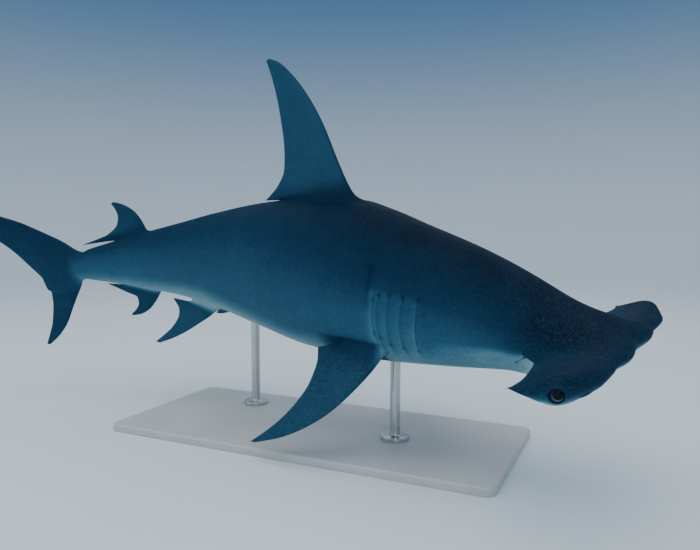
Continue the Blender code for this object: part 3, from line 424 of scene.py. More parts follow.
def weld(parts, dist):
    """Joins parts into one mesh: points closer than dist merge, the faces turn out, and
    points that no face uses go.  Returns the mesh, its points and their values."""
    points = np.concatenate([part[0] for part in parts])
    starts = np.cumsum([0] + [len(part[0]) for part in parts[:-1]])
    faces = np.concatenate([part[1] + start for part, start in zip(parts, starts)])
    values = np.concatenate([part[2] for part in parts])
    mesh = bpy.data.meshes.new("work")
    mesh.from_pydata(points.tolist(), [], faces.tolist())
    for k, name in enumerate(VALUES):
        attribute(mesh, name, values[:, k])
    work = bmesh.new()
    work.from_mesh(mesh)
    bmesh.ops.remove_doubles(work, verts=work.verts, dist=dist)
    bmesh.ops.dissolve_degenerate(work, edges=work.edges, dist=dist / 10)
    bmesh.ops.recalc_face_normals(work, faces=work.faces)
    loose = [vertex for vertex in work.verts if not vertex.link_faces]
    bmesh.ops.delete(work, geom=loose, context="VERTS")
    work.to_mesh(mesh)
    work.free()
    points = np.empty(len(mesh.vertices) * 3, np.float32)
    mesh.vertices.foreach_get("co", points)
    read = {}
    for name in VALUES:
        read[name] = np.empty(len(mesh.vertices), np.float32)
        mesh.attributes[name].data.foreach_get("value", read[name])
        mesh.attributes.remove(mesh.attributes[name])
    return mesh, points.reshape(-1, 3).astype(float), read


def mesh_object(name, mesh, points, material, sharp=50.0, mirrored=False):
    """Names a welded mesh and makes it an object at the origin.  The body plan is a
    mirror image of the world, so what was welded on the plan is mirrored."""
    if mirrored:
        mesh.flip_normals()
    mesh.name = name
    mesh.vertices.foreach_set("co", points.astype(np.float32).ravel())
    mesh.materials.append(material)
    mesh.shade_smooth()
    mesh.set_sharp_from_angle(angle=math.radians(sharp))
    mesh.update()
    made = bpy.data.objects.new(name, mesh)
    bpy.context.scene.collection.objects.link(made)
    return made


def edge_of(rows, columns, first=None):
    """Grid indices round a block of cells: from its first row and column down the first
    column's side, across, back up and back across, starting first points further on, or
    half way down the first column's side."""
    (r0, r1), (c0, c1) = rows, columns
    down, across = np.arange(r0, r1), np.arange(c0, c1)
    row = np.concatenate((down, np.full(len(across), r1), down[::-1] + 1,
                          np.full(len(across), r0)))
    column = np.concatenate((np.full(len(down), c0), across, np.full(len(down), c1),
                             across[::-1] + 1))
    first = len(down) // 2 if first is None else first
    return np.roll(row, -first), np.roll(column, -first)


def fold(count):
    """Share along a slit for a ring of points: 0 to 1 down one side, back up the other."""
    return 1 - np.abs(1 - np.arange(count) * 2 / count)


# The body ----------------------------------------------------------------------

FLAP = dict(rise=0.12, ahead=0.30, width=0.42, ease=12, over=3)     # a gill flap's swelling
CREASE = dict(at=22.45, width=0.35, depth=0.07, angles=(46, 104), ease=14)  # behind the gills
PIT = dict(at=72.1, width=0.45, depth=0.20, above=40, below=145)    # where the tail fin begins


def relief(station, angle):
    """Small swellings of the body's skin, each a bell along the body times an ease round
    it: a gill flap rises towards each slit, a crease runs up behind the last, and a pit
    lies above and below where the tail fin begins."""
    side = np.degrees(np.minimum(angle % (2 * np.pi), -angle % (2 * np.pi)))
    lift = (-CREASE["depth"] * bump(station, CREASE["at"], CREASE["width"])
            * between(side, *CREASE["angles"], CREASE["ease"], CREASE["ease"]))
    for s, start, end in GILL_SLITS:
        over, ease = FLAP["over"], FLAP["ease"]
        lift = lift + (FLAP["rise"] * bump(station, s - FLAP["ahead"], FLAP["width"])
                       * between(side, start - over, end + over, ease, ease))
    pit = smoothstep((PIT["above"] - side) / 30) + 0.5 * smoothstep((side - PIT["below"]) / 25)
    return lift - PIT["depth"] * bump(station, PIT["at"], PIT["width"]) * pit


def body_point(station, angle):
    """A point of the body's skin: a superellipse section from its top point to its
    bottom point, widest at a share of its depth, pushed out by the relief along the
    line from the section's middle; angle 0 is the back's ridge."""
    station, angle = np.broadcast_arrays(np.asarray(station, float), np.asarray(angle, float))
    top, bottom, half = (along(BODY, station, column) for column in (1, 2, 3))
    share = along(WIDEST, station)
    cosine, sine = np.cos(angle), np.sin(angle)
    upper = cosine >= 0
    power = 2 / np.where(upper, along(BACK_POWER, station), along(BELLY_POWER, station))
    reach = np.abs(cosine) ** power
    down = np.where(upper, share * (1 - reach), share + (1 - share) * reach)
    y = np.sign(sine) * np.abs(sine) ** power * half
    z = top + (bottom - top) * down
    out_y, out_z = y, z - (top + (bottom - top) * share)
    size = np.hypot(out_y, out_z) + 1e-9
    lift = relief(station, angle)
    return np.stack((station + along(SWEEP, station) * down, y + lift * out_y / size,
                     z + lift * out_z / size), -1)


def body_stations():
    """Stations of the body's rings: one at each edge of a block, even steps between."""
    keys = {ARMPIT, TAIL_TIP}
    for fin in FINS.values():
        keys |= {fin["root"][0] - fin["room"][0], fin["root"][1] + fin["room"][1]}
    for s, _, _ in GILL_SLITS:
        keys |= {s - GILL_HALF, s + GILL_HALF}
    keys = sorted({round(key, 6) for key in keys})
    table = np.array(STEPS)
    out = []
    for a, b in zip(keys[:-1], keys[1:]):
        count = max(1, math.ceil((b - a) / np.interp((a + b) / 2, table[:, 0], table[:, 1]) - 1e-6))
        out.extend(a + (b - a) * np.arange(count) / count)
    return np.array(out + [keys[-1]])


BODY_S = body_stations()


def row_at(s):
    """The ring nearest to a station."""
    return int(np.abs(BODY_S - s).argmin())


def block_of(fin, side=1):
    """Rows and columns of the block of body skin round a fin's root."""
    ahead, behind, wide = fin["room"]
    column = side * fin["column"] * AROUND // ROOT_COLUMNS
    return ((row_at(fin["root"][0] - ahead), row_at(fin["root"][1] + behind)),
            (column - wide, column + wide))


def fin_sides():
    """Every fin as (fin, side): 1 for the left of a pair and for a single fin, else -1."""
    return [(fin, side) for name, fin in FINS.items()
            for side in ((1, -1) if name in PAIRED else (1,))]


def open_block(keep, block):
    """Marks a block of a closed grid's cells as left out."""
    (r0, r1), (c0, c1) = block
    keep[np.ix_(np.arange(r0, r1), np.arange(c0, c1) % keep.shape[1])] = False


OVAL = 0.22                         # how far a block's corners slide towards its middle
OVAL_END, OVAL_FADE = 1.8, 0.8      # where the slide ends, in half blocks, and its fade


def slid(station, angle, block):
    """Slides the grid's points so that a block's edge becomes an oval: each goes in by
    OVAL times its distance along one axis times the square of the other, both in half
    blocks, and the slide fades out beyond the edge."""
    (r0, r1), (c0, c1) = block
    s0, s1 = BODY_S[r0], BODY_S[r1]
    turn = 2 * np.pi / AROUND
    s_half, a_half = (s1 - s0) / 2, (c1 - c0) / 2 * turn
    u = (station - (s0 + s1) / 2) / s_half
    away = (angle - (c0 + c1) / 2 * turn + np.pi) % (2 * np.pi) - np.pi
    w = away / a_half
    fade = OVAL * smoothstep((OVAL_END - np.maximum(np.abs(u), np.abs(w))) / OVAL_FADE)
    u_in, w_in = np.clip(np.abs(u), 0, 1), np.clip(np.abs(w), 0, 1)
    return station - u * s_half * w_in ** 2 * fade, angle - away * u_in ** 2 * fade


def body_grid():
    """Stations and angles of the body's points, and which cells are left open."""
    station, angle = np.meshgrid(BODY_S, np.arange(AROUND) * 2 * np.pi / AROUND, indexing="ij")
    keep = np.ones((len(BODY_S) - 1, AROUND), bool)
    for fin, side in fin_sides():
        block = block_of(fin, side)
        station, angle = slid(station, angle, block)
        open_block(keep, block)
    return station, angle, keep


# The hammer --------------------------------------------------------------------

def hammer_middle(s, y):
    """Height of the hammer's middle plane: it droops by the square of the distance
    outwards, in tenths, and falls evenly towards the rear."""
    return HAMMER_HIGH - HAMMER_DROOP * (y / 10) ** 2 - HAMMER_TILT * (s - HAMMER_FROM)


def hammer_point(column, v, up):
    """A point of the hammer's skin.  column runs from -2 at the right end over 0 to 2 at
    the left end, v from the front margin (0) to the rear one (1), up is 1 on top and -1
    below.  Seen from above it is a straight line between the margins, with the ends
    bulged out to their own curve.  Its height is the middle plane plus a rise that
    grows as a quarter ellipse behind the front margin and fades to a thin rear edge;
    in the middle part it runs into the neck's first ring with the neck's own slope."""
    column, v, up = np.broadcast_arrays(*(np.asarray(a, float) for a in (column, v, up)))
    out = np.clip(np.abs(column) - 1, 0, 1)
    side, inner = np.sign(column), np.clip(column, -1, 1)
    ring = np.where(up > 0, inner * np.pi / 2, np.pi - inner * np.pi / 2)
    neck = body_point(ARMPIT, ring)
    neck_slope = (body_point(ARMPIT + 0.05, ring) - neck) / 0.05
    merge = smoothstep(out / NECK_MERGE)
    y_front = inner * SPREAD + side * out * (FRONT_MARGIN[-1][0] - SPREAD)
    y_lobe = REAR_MARGIN[0][0] + (REAR_MARGIN[-1][0] - REAR_MARGIN[0][0]) * out
    y_rear = np.where(out > 0, side * y_lobe, neck[..., 1])
    s_front = along(FRONT_MARGIN, np.abs(y_front))
    s_rear = np.where(out > 0, along(REAR_MARGIN, np.abs(y_rear)), ARMPIT)
    z_rear = neck[..., 2] * (1 - merge) + hammer_middle(s_rear, y_rear) * merge
    y_end = along(END_MARGIN, END_MARGIN[0][0] + (END_MARGIN[-1][0] - END_MARGIN[0][0]) * v)
    bulge = y_end - (FRONT_MARGIN[-1][0] * (1 - v) + REAR_MARGIN[-1][0] * v)
    ease = (v - 1) * v * v * (1 - np.abs(inner) ** ARMPIT_FADE)
    run = ARMPIT - s_front
    s = s_front * (1 - v) + s_rear * v
    y = (y_front * (1 - v) + y_rear * v
         + smoothstep((out - END_BLEND) / (1 - END_BLEND)) * side * bulge
         + ease * (neck_slope[..., 1] * run - (y_rear - y_front)))
    nose = np.sqrt(1 - (1 - np.clip(v / NOSE_SHARE, 0, 1)) ** 2)
    tip = np.sqrt(1 - np.clip((out - END_ROUND) / (1 - END_ROUND), 0, 1) ** 2)
    edge = EDGE_SHARE * merge
    keep = (1 - v ** REAR_EASE) * (1 - edge) + edge * np.sqrt(np.clip(1 - v, 0, 1))

    def rise(y_at):
        """How far the sheet stands off the middle plane, by the distance outwards."""
        return up * np.where(up > 0, along(HAMMER_ABOVE, np.abs(y_at)),
                             along(HAMMER_BELOW, np.abs(y_at)))

    last = hammer_middle(s_rear, y_rear) + rise(y_rear)
    z = ((hammer_middle(s, y) + rise(y) * nose * tip) * keep + z_rear * (1 - keep)
         + ease * (neck_slope[..., 2] * run + REAR_EASE * (last - z_rear)))
    return np.stack((s, y, z), -1)


def hammer_columns():
    """Columns over the hammer: even over the neck and the lobes, and even in angle
    round each lobe's end."""
    flat = 1 + END_ROUND * np.arange(1, LOBE_FLAT + 1) / LOBE_FLAT
    turn = np.pi / 2 * (1 - np.arange(1, LOBE_ROUND + 1) / LOBE_ROUND)
    lobe = np.concatenate((flat, 1 + END_ROUND + (1 - END_ROUND) * np.cos(turn)))
    return np.concatenate((-lobe[::-1], np.linspace(-1, 1, AROUND // 2 + 1), lobe))


HAMMER_C = hammer_columns()
HAMMER_V = (1 - np.cos(np.pi * np.arange(ROWS + 1) / ROWS)) / 2


def column_at(c):
    """The hammer's column nearest to a place across it."""
    return int(np.abs(HAMMER_C - c).argmin())


def across_hammer(first, last, side):
    """First and last column of a block on the left side, or its mirror on the right."""
    end = len(HAMMER_C) - 1
    return (first, last) if side > 0 else (end - last, end - first)


# Slits: gills, mouth and nostrils ------------------------------------------------

SINK = ((0.9, 0.12), (0.7, 0.35), (0.5, 0.65), (0.0, 1.0))  # inner rings: width and depth
SINK_SHADE = (0.85, 1.0, 1.0, 1.0)                         # how much painted shade each ring gets


def slit(surface, edge, line, inward, lips, width, depth, rings=12):
    """Rings from a block's edge to a slit.  Both are given as the surface's two
    parameters; the points go straight from edge to line in them, at distances from the
    line that shrink by a constant ratio down to width.  lips gives the height over the
    surface at a distance, and the last rings sink inward by depth and close up."""
    edge, line = np.asarray(edge), np.asarray(line)
    floor = surface(*line)
    reach = np.linalg.norm(surface(*edge) - floor, axis=-1)
    share = (width / reach) ** (np.arange(rings + 1) / rings)[:, None]
    away = reach * share
    level = surface(*(line[:, None] + (edge - line)[:, None] * share))
    outer = level - inward * (lips(away) * (share < 1))[..., None]
    sunk = np.stack([floor + (outer[-1] - floor) * w + inward * depth * d for w, d in SINK])
    points = np.concatenate((outer, sunk))
    values = blank(points)
    # painted shade: darker close to the slit, and dark on the rings that sink into it
    values[:rings + 1, :, HOLLOW_SHADE] = 0.6 * smoothstep((2.2 * width - away) / (1.2 * width))
    values[rings + 1:, :, HOLLOW_SHADE] = np.array(SINK_SHADE)[:, None]
    return points, values


GILL_BOW = 0.10                     # how far a slit's middle bows back (the first: forwards)
GILL_WIDTH, GILL_DEPTH = 0.045, 0.45
GILL_LIP, GILL_STEP = (0.07, 0.12), (-0.05, 0.20)   # height and reach, ahead and behind
GILL_INWARD = (-0.35, -0.93, 0.0)   # on the left side


def gill_slit(number, side):
    """A gill slit: an arc round the body, where the flap's rear edge stands a little over
    the skin behind it.  Returns its block, the block's edge and what slit() asks for."""
    s, start, end = GILL_SLITS[number]
    first, last = (math.floor(start / 360 * AROUND) - 1, math.ceil(end / 360 * AROUND) + 1)
    rows = (row_at(s - GILL_HALF), row_at(s + GILL_HALF))
    columns = (first, last) if side > 0 else (AROUND - last, AROUND - first)
    row, column = edge_of(rows, columns)
    t = fold(len(row))
    t = t if side > 0 else 1 - t
    degrees = start + (end - start) * t
    bow = -GILL_BOW if number == 0 else GILL_BOW
    line = (s + bow * np.sin(np.pi * t), np.radians(degrees if side > 0 else 360 - degrees))
    behind = (BODY_S[row] - s) / GILL_HALF
    taper = np.sin(np.pi * np.clip(t, 0.02, 0.98)) ** 0.4

    def lips(away):
        """On each side of the slit a height that dies off by a power of e."""
        return taper * (GILL_LIP[0] * np.clip(-behind, 0, 1) * np.exp(-away / GILL_LIP[1])
                        + GILL_STEP[0] * np.clip(behind, 0, 1) * np.exp(-away / GILL_STEP[1]))

    inward = np.array(GILL_INWARD) * (1, side, 1)
    return (rows, columns), row, column % AROUND, line, lips, inward


def gills(station, angle, keep):
    """The rings of every gill slit on both sides; their blocks are opened in keep."""
    parts = []
    for number in range(len(GILL_SLITS)):
        for side in (1, -1):
            block, row, column, line, lips, inward = gill_slit(number, side)
            open_block(keep, block)
            turn = angle[row, column]
            if side < 0:
                turn = np.where(turn < np.pi, turn + 2 * np.pi, turn)
            parts.append(slit(body_point, (station[row, column], turn), line, inward, lips,
                              GILL_WIDTH, GILL_DEPTH))
    return parts


NECK_RUN = 7.2                      # stations for one unit of w behind the armpit
FRONT_AT, NECK_HALF = 1.2, 5.6      # the front margin's station and the neck's half width
MOUTH_BLOCK = (5.5, 11.4, 0.80)     # front and rear station, and reach in c
MOUTH_SWING, MOUTH_POWER = 88, 0.9  # degrees of the arch each way, and its power
MOUTH_WIDTH, MOUTH_DEPTH, MOUTH_RINGS = 0.075, 0.55, 18
JAW_LIP, SNOUT_LIP = 0.12, 0.09     # heights of the lips behind the line and ahead of it
LIP_CREST, LIP_FURROW = (0.24, 0.15), (0.62, 0.22)      # each at a distance, with a width
FURROW_DEPTH = 0.05
MOUTH_INWARD = (0.25, 0.0, 0.97)


def under_point(c, w):
    """A point of the head's underside: the hammer's lower sheet up to w = 1, then the
    neck's lower half; c runs from -1 at the right to 1 at the left."""
    sheet = hammer_point(c, np.clip(w, 0, 1), -1)
    neck = body_point(ARMPIT + np.maximum(w - 1, 0) * NECK_RUN, np.pi - c * np.pi / 2)
    return np.where((w > 1)[..., None], neck, sheet)


def mouth():
    """The mouth: an arch on the underside, open to the rear, with soft lips.  The arch is
    front + depth (1 - cos t to a power) along and half sin t across, walked at an even
    pace.  Returns the first open row of the hammer, the last of the body, the open
    columns on each side of the middle, and the rings."""
    front, rear, reach = MOUTH_BLOCK
    r0 = int(np.abs(HAMMER_V - (front - FRONT_AT) / NECK_RUN).argmin())
    r1 = row_at(rear)
    if (ROWS - r0 + r1) % 2:
        r0 -= 1
    inner = int(round(reach * AROUND / 4))
    w = np.concatenate((HAMMER_V[r0:], 1 + (BODY_S[1:r1 + 1] - ARMPIT) / NECK_RUN))
    c = np.arange(-inner, inner + 1) / (AROUND / 4)
    row, column = edge_of((0, len(w) - 1), (0, len(c) - 1))
    t = fold(len(row))
    swing = np.radians(np.linspace(-MOUTH_SWING, MOUTH_SWING, 400))
    s_arch = (MOUTH["front"]
              + (MOUTH["back"] - MOUTH["front"]) * (1 - np.cos(swing) ** MOUTH_POWER))
    y_arch = MOUTH["half"] * np.sin(swing)
    run = np.concatenate(([0], np.cumsum(np.hypot(np.diff(s_arch), np.diff(y_arch)))))
    s, y = (np.interp(t * run[-1], run, arch) for arch in (s_arch, y_arch))
    line = find(under_point, y / NECK_HALF, (s - FRONT_AT) / NECK_RUN, np.stack((s, y), -1))
    height = np.where(np.arange(len(row)) < len(row) / 2, JAW_LIP, SNOUT_LIP)
    taper = 0.35 + 0.65 * np.sin(np.pi * t) ** 0.5

    def lips(away):
        """A soft crest along the line and a shallow furrow beyond it, each a bell."""
        return taper * (height * bump(away, *LIP_CREST) - FURROW_DEPTH * bump(away, *LIP_FURROW))

    points, values = slit(under_point, (c[column], w[row]), line, np.array(MOUTH_INWARD), lips,
                          MOUTH_WIDTH, MOUTH_DEPTH, MOUTH_RINGS)
    values[..., SHEET] = -1
    return r0, r1, inner, points, values


NOSTRIL_ROWS, NOSTRIL_SPAN = (2, 14), (1.58, 1.875)     # its block, in rows and across
NOSTRIL_AT, NOSTRIL_RUN = (1.66, 0.012), (0.155, 0.026)     # its start and run, in c and v
NOSTRIL_WIDTH, NOSTRIL_DEPTH, NOSTRIL_RINGS = (0.05, 0.13), 0.42, 9
NOSTRIL_LIPS, NOSTRIL_CREST = (0.09, 0.03), (0.18, 0.11)    # heights below and above; where
NOSTRIL_HIGHLIGHT, NOSTRIL_RIM = 2.1, (0.18, 0.17)           # how bright the painted highlight on the lower rim is, and where
NOSTRIL_INWARD = (0.88, 0.0, 0.47)


def low_sheet(c, v):
    """The hammer's lower sheet."""
    return hammer_point(c, v, -1)


def nostril(side):
    """A nostril: a slanting slit under the front margin, with a painted highlight along its
    thin lower rim, a bell over the distance from the slit.  Returns its block and rings."""
    columns = across_hammer(*(column_at(c) for c in NOSTRIL_SPAN), side)
    row, column = edge_of(NOSTRIL_ROWS, columns)
    t = fold(len(row))
    t = t if side > 0 else 1 - t
    line = (side * (NOSTRIL_AT[0] + NOSTRIL_RUN[0] * t), NOSTRIL_AT[1] + NOSTRIL_RUN[1] * t)
    width = NOSTRIL_WIDTH[0] + (NOSTRIL_WIDTH[1] - NOSTRIL_WIDTH[0]) * t
    lower = HAMMER_V[row] > line[1]
    taper = np.sin(np.pi * np.clip(t, 0.03, 0.97)) ** 0.5

    def lips(away):
        """A crest round the slit, a bell over the distance, higher on the lower side."""
        return taper * np.where(lower, *NOSTRIL_LIPS) * bump(away, *NOSTRIL_CREST)

    points, values = slit(low_sheet, (HAMMER_C[column], HAMMER_V[row]), line,
                          np.array(NOSTRIL_INWARD), lips, width, NOSTRIL_DEPTH, NOSTRIL_RINGS)
    away = np.linalg.norm(points - points[-1], axis=-1)
    # painted highlight along the lower rim
    values[..., RIM] = NOSTRIL_HIGHLIGHT * lower * taper * bump(away, *NOSTRIL_RIM)
    values[NOSTRIL_RINGS + 1:, :, RIM] = 0
    values[..., SHEET] = -1
    return columns, points, values


# Eye sockets ---------------------------------------------------------------------

SOCKET_TURN, SOCKET_BACK = 64, 0.50     # the block: degrees round the lobe's end, and v
SOCKET_EDGE, SOCKET_CLEAR = 0.64, 0.02  # radius where the slope ends, room round the eye
SLOPE_POINTS, SLOPE_OUT, SLOPE_DOWN = 10, 0.22, 0.19    # its points, and how far it bows
CREST, CREST_MORE, CREST_FALL = 0.36, 0.05, 0.11    # height, more above the eye, fall outside
LID = ((0.615, -0.07), (0.585, -0.025), (0.545, 0.0), (0.50, -0.005), (0.465, -0.03))
# painted shade on each ring of the lids, darker towards the eye
LID_SHADE = (0.0, 0.05, 0.25, 0.6, 0.9)
LID_RIM = 0.14                          # how pale the slope gets
CUP_ANGLES = (50.0, 65.0, 90.0, 120.0, 150.0, 180.0)    # polar angles of the socket's rings


def eye_frame(side):
    """The eye's centre, the way it faces, and the rearward direction across it."""
    turn = math.radians(EYE_FORWARD)
    centre = np.array(EYE_CENTRE) * (1, side, 1)
    out = np.array((-math.sin(turn), side * math.cos(turn), 0.0))
    back = np.array((math.cos(turn), side * math.sin(turn), 0.0))
    return centre, out, back


def eye_socket(side):
    """Lids and socket: rings run from the block's edge by a quadratic curve up to the
    lids' crest, over it, and down round a ball a little larger than the eye.  A ring is
    a circle of a radius across the eye's axis at a height along it."""
    theta = np.degrees(np.arccos(np.clip((np.abs(HAMMER_C) - 1 - END_ROUND) / (1 - END_ROUND),
                                         -1, 1)))
    first = int(np.flatnonzero((theta <= SOCKET_TURN) & (HAMMER_C > 1.5))[0])
    columns = np.arange(first, len(HAMMER_C))
    columns = columns if side > 0 else len(HAMMER_C) - 1 - columns
    rows = (0, int(np.abs(HAMMER_V - SOCKET_BACK).argmin()))
    top, low = (hammer_point(HAMMER_C[columns][:, None], HAMMER_V[None, :], up) for up in (1, -1))
    sheet = np.concatenate((top, low[-2::-1]))
    column, row = edge_of((0, len(sheet) - 1), rows, 0)
    once = (row > 0) | (column == 0)                    # the sheets share their front line
    edge = sheet[column[once], row[once]]
    centre, out, back = eye_frame(side)
    from_eye = edge - centre
    turn = np.arctan2(from_eye[:, 2], from_eye @ back)
    across = back * np.cos(turn)[:, None] + np.array((0, 0, 1.0)) * np.sin(turn)[:, None]
    even = np.ones(len(turn))

    def ring(radius, height):
        """A ring of points at a radius from the eye's axis and a height along it."""
        return centre + across * (radius * even)[:, None] + out * (height * even)[:, None]

    crest = CREST + CREST_MORE * (0.5 + 0.5 * np.sin(turn))
    room = np.clip((np.hypot(from_eye[:, 2], from_eye @ back) - SOCKET_EDGE) / 0.5, 0.1, 1)
    end = crest - CREST_FALL
    soft = bezier(edge, ring(SOCKET_EDGE + SLOPE_OUT * room, end - SLOPE_DOWN * room),
                  ring(SOCKET_EDGE, end), np.linspace(0, 1, SLOPE_POINTS))
    lid = [ring(radius, crest + drop) for radius, drop in LID]
    ball = EYE_RADIUS + SOCKET_CLEAR
    cup = [ring(ball * math.sin(a), ball * math.cos(a)) for a in np.radians(CUP_ANGLES)]
    points = np.concatenate((soft, np.stack(lid + cup)))
    values = blank(points)
    # painted shade on the lids and in the socket
    values[len(soft):, :, HOLLOW_SHADE] = np.concatenate((LID_SHADE, np.ones(len(cup))))[:, None]
    values[:len(soft), :, RIM] = LID_RIM * np.linspace(0, 1, len(soft))[:, None] ** 2
    return rows, np.sort(columns), points, values


def head_parts(body_keep, top_keep, low_keep):
    """The rings of mouth, nostrils and eye sockets; their blocks are opened in the grids."""
    r0, r1, inner, points, values = mouth()
    middle = len(HAMMER_C) // 2
    low_keep[middle - inner:middle + inner, r0:] = False
    open_block(body_keep, ((0, r1), (AROUND // 2 - inner, AROUND // 2 + inner)))
    parts = [(points, values)]
    for side in (1, -1):
        columns, points, values = nostril(side)
        low_keep[columns[0]:columns[1], NOSTRIL_ROWS[0]:NOSTRIL_ROWS[1]] = False
        parts.append((points, values))
        rows, columns, points, values = eye_socket(side)
        for keep in (top_keep, low_keep):
            keep[columns[0]:columns[-1], rows[0]:rows[1]] = False
        parts.append((points, values))
    return parts


# Fins --------------------------------------------------------------------------

FIN_NOSE, FIN_FADE, FIN_EDGE = 0.3, 1.7, 0.07       # the nose's share, a power, the edge


def section(x):
    """Half thickness of a fin along its chord: a quarter circle for a nose, fading by a
    power to a thin edge that is itself round."""
    nose = np.sqrt(1 - (1 - np.clip(x / FIN_NOSE, 0, 1)) ** 2)
    return nose * ((1 - x ** FIN_FADE) * (1 - FIN_EDGE)
                   + FIN_EDGE * np.sqrt(np.clip(1 - x, 0, 1)))


ROOT_RINGS, REAR_RINGS, SPAN_RINGS = 7, 3, 32       # to the first ring, the rear tip, the tip
FIRST_RING = 0.45                                   # share of the way to the rear tip
THIN_POWER = 0.8                                    # by which a fin thins along its span
ROOT_FILL = 0.75                                    # share of its block that a root fills
TONE_BLEND = 0.22                                   # share of the span where its tone sets in
TIP_ROUND = 0.035                                   # share of the span that rounds the tip


def fin_rings(fin, side, edge):
    """A fin from its block's edge to its tip.  A ring at a share v of the span runs from
    the leading margin down one face and back up the other; x is its place along the
    chord.  The first rings are a quadratic curve from the block's edge, by the fin's
    own section on the body, to the section a little further out."""
    count = len(edge)
    x = (1 - np.cos(np.pi * fold(count))) / 2
    face = np.where(np.arange(count) < count / 2, 1.0, -1.0)
    face[[0, count // 2]] = 0
    span = np.array(fin["span"]) * (side, 1)
    point = np.array(fin["point"]) * (side, 1)
    across = np.array((span[1], -span[0]))
    opening = edge[count // 4] - edge[-(count // 4)]
    face = face * np.sign(opening[1:] @ across)
    root_half = np.linalg.norm(opening) / 2
    root_thick, tip_thick = fin["thick"]
    rear_tip = fin["rear_tip"]

    def ring(v):
        """Rings at shares v of the span: from margin to margin by x, and out to each face
        by the thickness there times the section."""
        v = np.atleast_1d(v)
        lead, inner, outer = (np.stack([along(fin[name], v, k) for k in (1, 2)], -1)
                              for name in ("lead", "inner", "trail"))
        trail = np.where((v <= rear_tip)[:, None], inner, outer)
        thick = root_thick + (tip_thick - root_thick) * v ** THIN_POWER
        thick = thick + (root_half * ROOT_FILL - root_thick) * np.clip(1 - v / FLARE, 0, 1) ** 2
        thick = thick * np.sqrt(1 - np.clip((v - 1 + TIP_ROUND) / TIP_ROUND, 0, 1) ** 2)
        chord = lead[:, None] * (1 - x[:, None]) + trail[:, None] * x[:, None]
        push = face * thick[:, None] * section(x)
        flat = point + chord[..., 1:] * span + push[..., None] * across
        return np.concatenate((chord[..., :1], flat), -1)

    v_first = FIRST_RING * rear_tip
    t = np.linspace(0, 1, ROOT_RINGS + 1)
    even = np.linspace(0, 1, SPAN_RINGS + 1)[1:]
    v = np.concatenate((np.linspace(v_first, rear_tip, REAR_RINGS + 1)[1:],
                        rear_tip + (1 - rear_tip) * (1 - np.cos(np.pi * even)) / 2))
    points = np.concatenate((bezier(edge, ring(0.0)[0], ring(v_first)[0], t), ring(v)))
    v_all = np.concatenate((v_first * t ** 2, v))
    values = blank(points)
    values[..., FIN] = smoothstep(v_all / TONE_BLEND)[:, None]
    values[..., TONE] = np.where(face * across[1] >= 0, *fin["tone"])
    values[..., CHORD] = x
    values[..., SPAN] = v_all[:, None]
    return points, values


def fins(body):
    """Every fin, grown from the edge of its block of the body's points."""
    parts = []
    for fin, side in fin_sides():
        rows, columns = block_of(fin, side)
        long, wide = rows[1] - rows[0], columns[1] - columns[0]
        row, column = edge_of(rows, columns, 2 * long + wide + wide // 2)
        parts.append(fin_rings(fin, side, body[row, column % AROUND]))
    return parts


# The skin's tone -----------------------------------------------------------------

# Tone by depth, on the body and on the head; depth is 1 on the back and -1 below
COUNTERSHADE = ((-1.0, 0.60), (-0.3, 0.50), (0.3, 0.36), (0.8, 0.19), (1.0, 0.14))
HEAD_SHADE = ((-1.0, 0.50), (-0.3, 0.36), (0.04, 0.14), (0.5, 0.06), (1.0, 0.01))
FRONT_DARK = 0.13                   # how much darker the back is ahead of the dorsal fin
HAMMER_LEAST = 0.06                 # the least depth, up or down, of a point on the hammer
# The belly's pale: station, depth where it begins, depth where it is full, how pale
PALE = (
    (0.0, -0.13, -0.75, 1.0), (7.4, -0.16, -0.65, 1.0), (8.5, 0.02, -0.24, 0.66),
    (10.2, -0.04, -0.24, 0.56), (12.0, -0.10, -0.38, 0.50), (14.4, -0.12, -0.50, 0.34),
    (17.0, -0.30, -0.85, 0.45), (20.0, -0.45, -0.92, 0.70), (24.0, -0.50, -0.90, 0.85),
    (38.0, -0.44, -0.88, 0.88), (52.0, -0.28, -0.86, 0.90), (60.0, -0.36, -0.98, 0.7),
    (70.0, -0.30, -0.98, 0.45), (74.0, -0.3, -0.9, 0.12), (100.3, -0.3, -0.9, 0.05))
GILL_PALE, FLAP_PAINTED_LIGHT, FLAP_PAINTED_SHADE = 0.05, 0.13, 0.06      # paler all over; painted light behind a slit, painted shade ahead of it
DIMPLE_PAINTED_SHADE, CREASE_PAINTED_SHADE = 0.18, 0.12   # painted shade at a slit's ends, and in the crease
PECTORAL_PAINTED_SHADOW, RIM_PALE_AND_HIGHLIGHT = 0.62, 0.40  # painted shadow behind a pectoral fin's root, and on pale rims
LOW_PALE, FIN_DUSK = 0.88, 0.25     # low on the belly, and the tone at a pale fin's tip
TAIL_TONE, TAIL_FALL = 0.17, 0.08   # on the tail fin's upper edge, and what it gains below


def depth_of(plan, sheet):
    """How high a point lies on its section: 1 on the back, 0 at the widest, -1 below.  On
    the hammer it keeps the sign of the sheet, which is 1 on top and -1 underneath."""
    s, y, z = plan.T
    top, bottom = along(BODY, s, 1), along(BODY, s, 2)
    widest = top + (bottom - top) * along(WIDEST, s)
    body = np.where(z > widest, (z - widest) / (top - widest), (z - widest) / (widest - bottom))
    above = z - hammer_middle(s, y)
    rise = np.where(above > 0, along(HAMMER_ABOVE, np.abs(y)), along(HAMMER_BELOW, np.abs(y)))
    hammer = np.where(sheet == 0, above / rise,
                      sheet * np.maximum(np.abs(above) / rise, HAMMER_LEAST))
    ahead = np.maximum(smoothstep((9.6 - s) / 3.2),
                       smoothstep((np.abs(y) - 4.9) / 0.8) * (s < 8.6))
    depth = body * (1 - ahead) + hammer * ahead
    depth = np.where(sheet > 0, np.maximum(depth, HAMMER_LEAST), depth)
    return np.clip(np.where(sheet < 0, np.minimum(depth, -HAMMER_LEAST), depth), -1, 1)


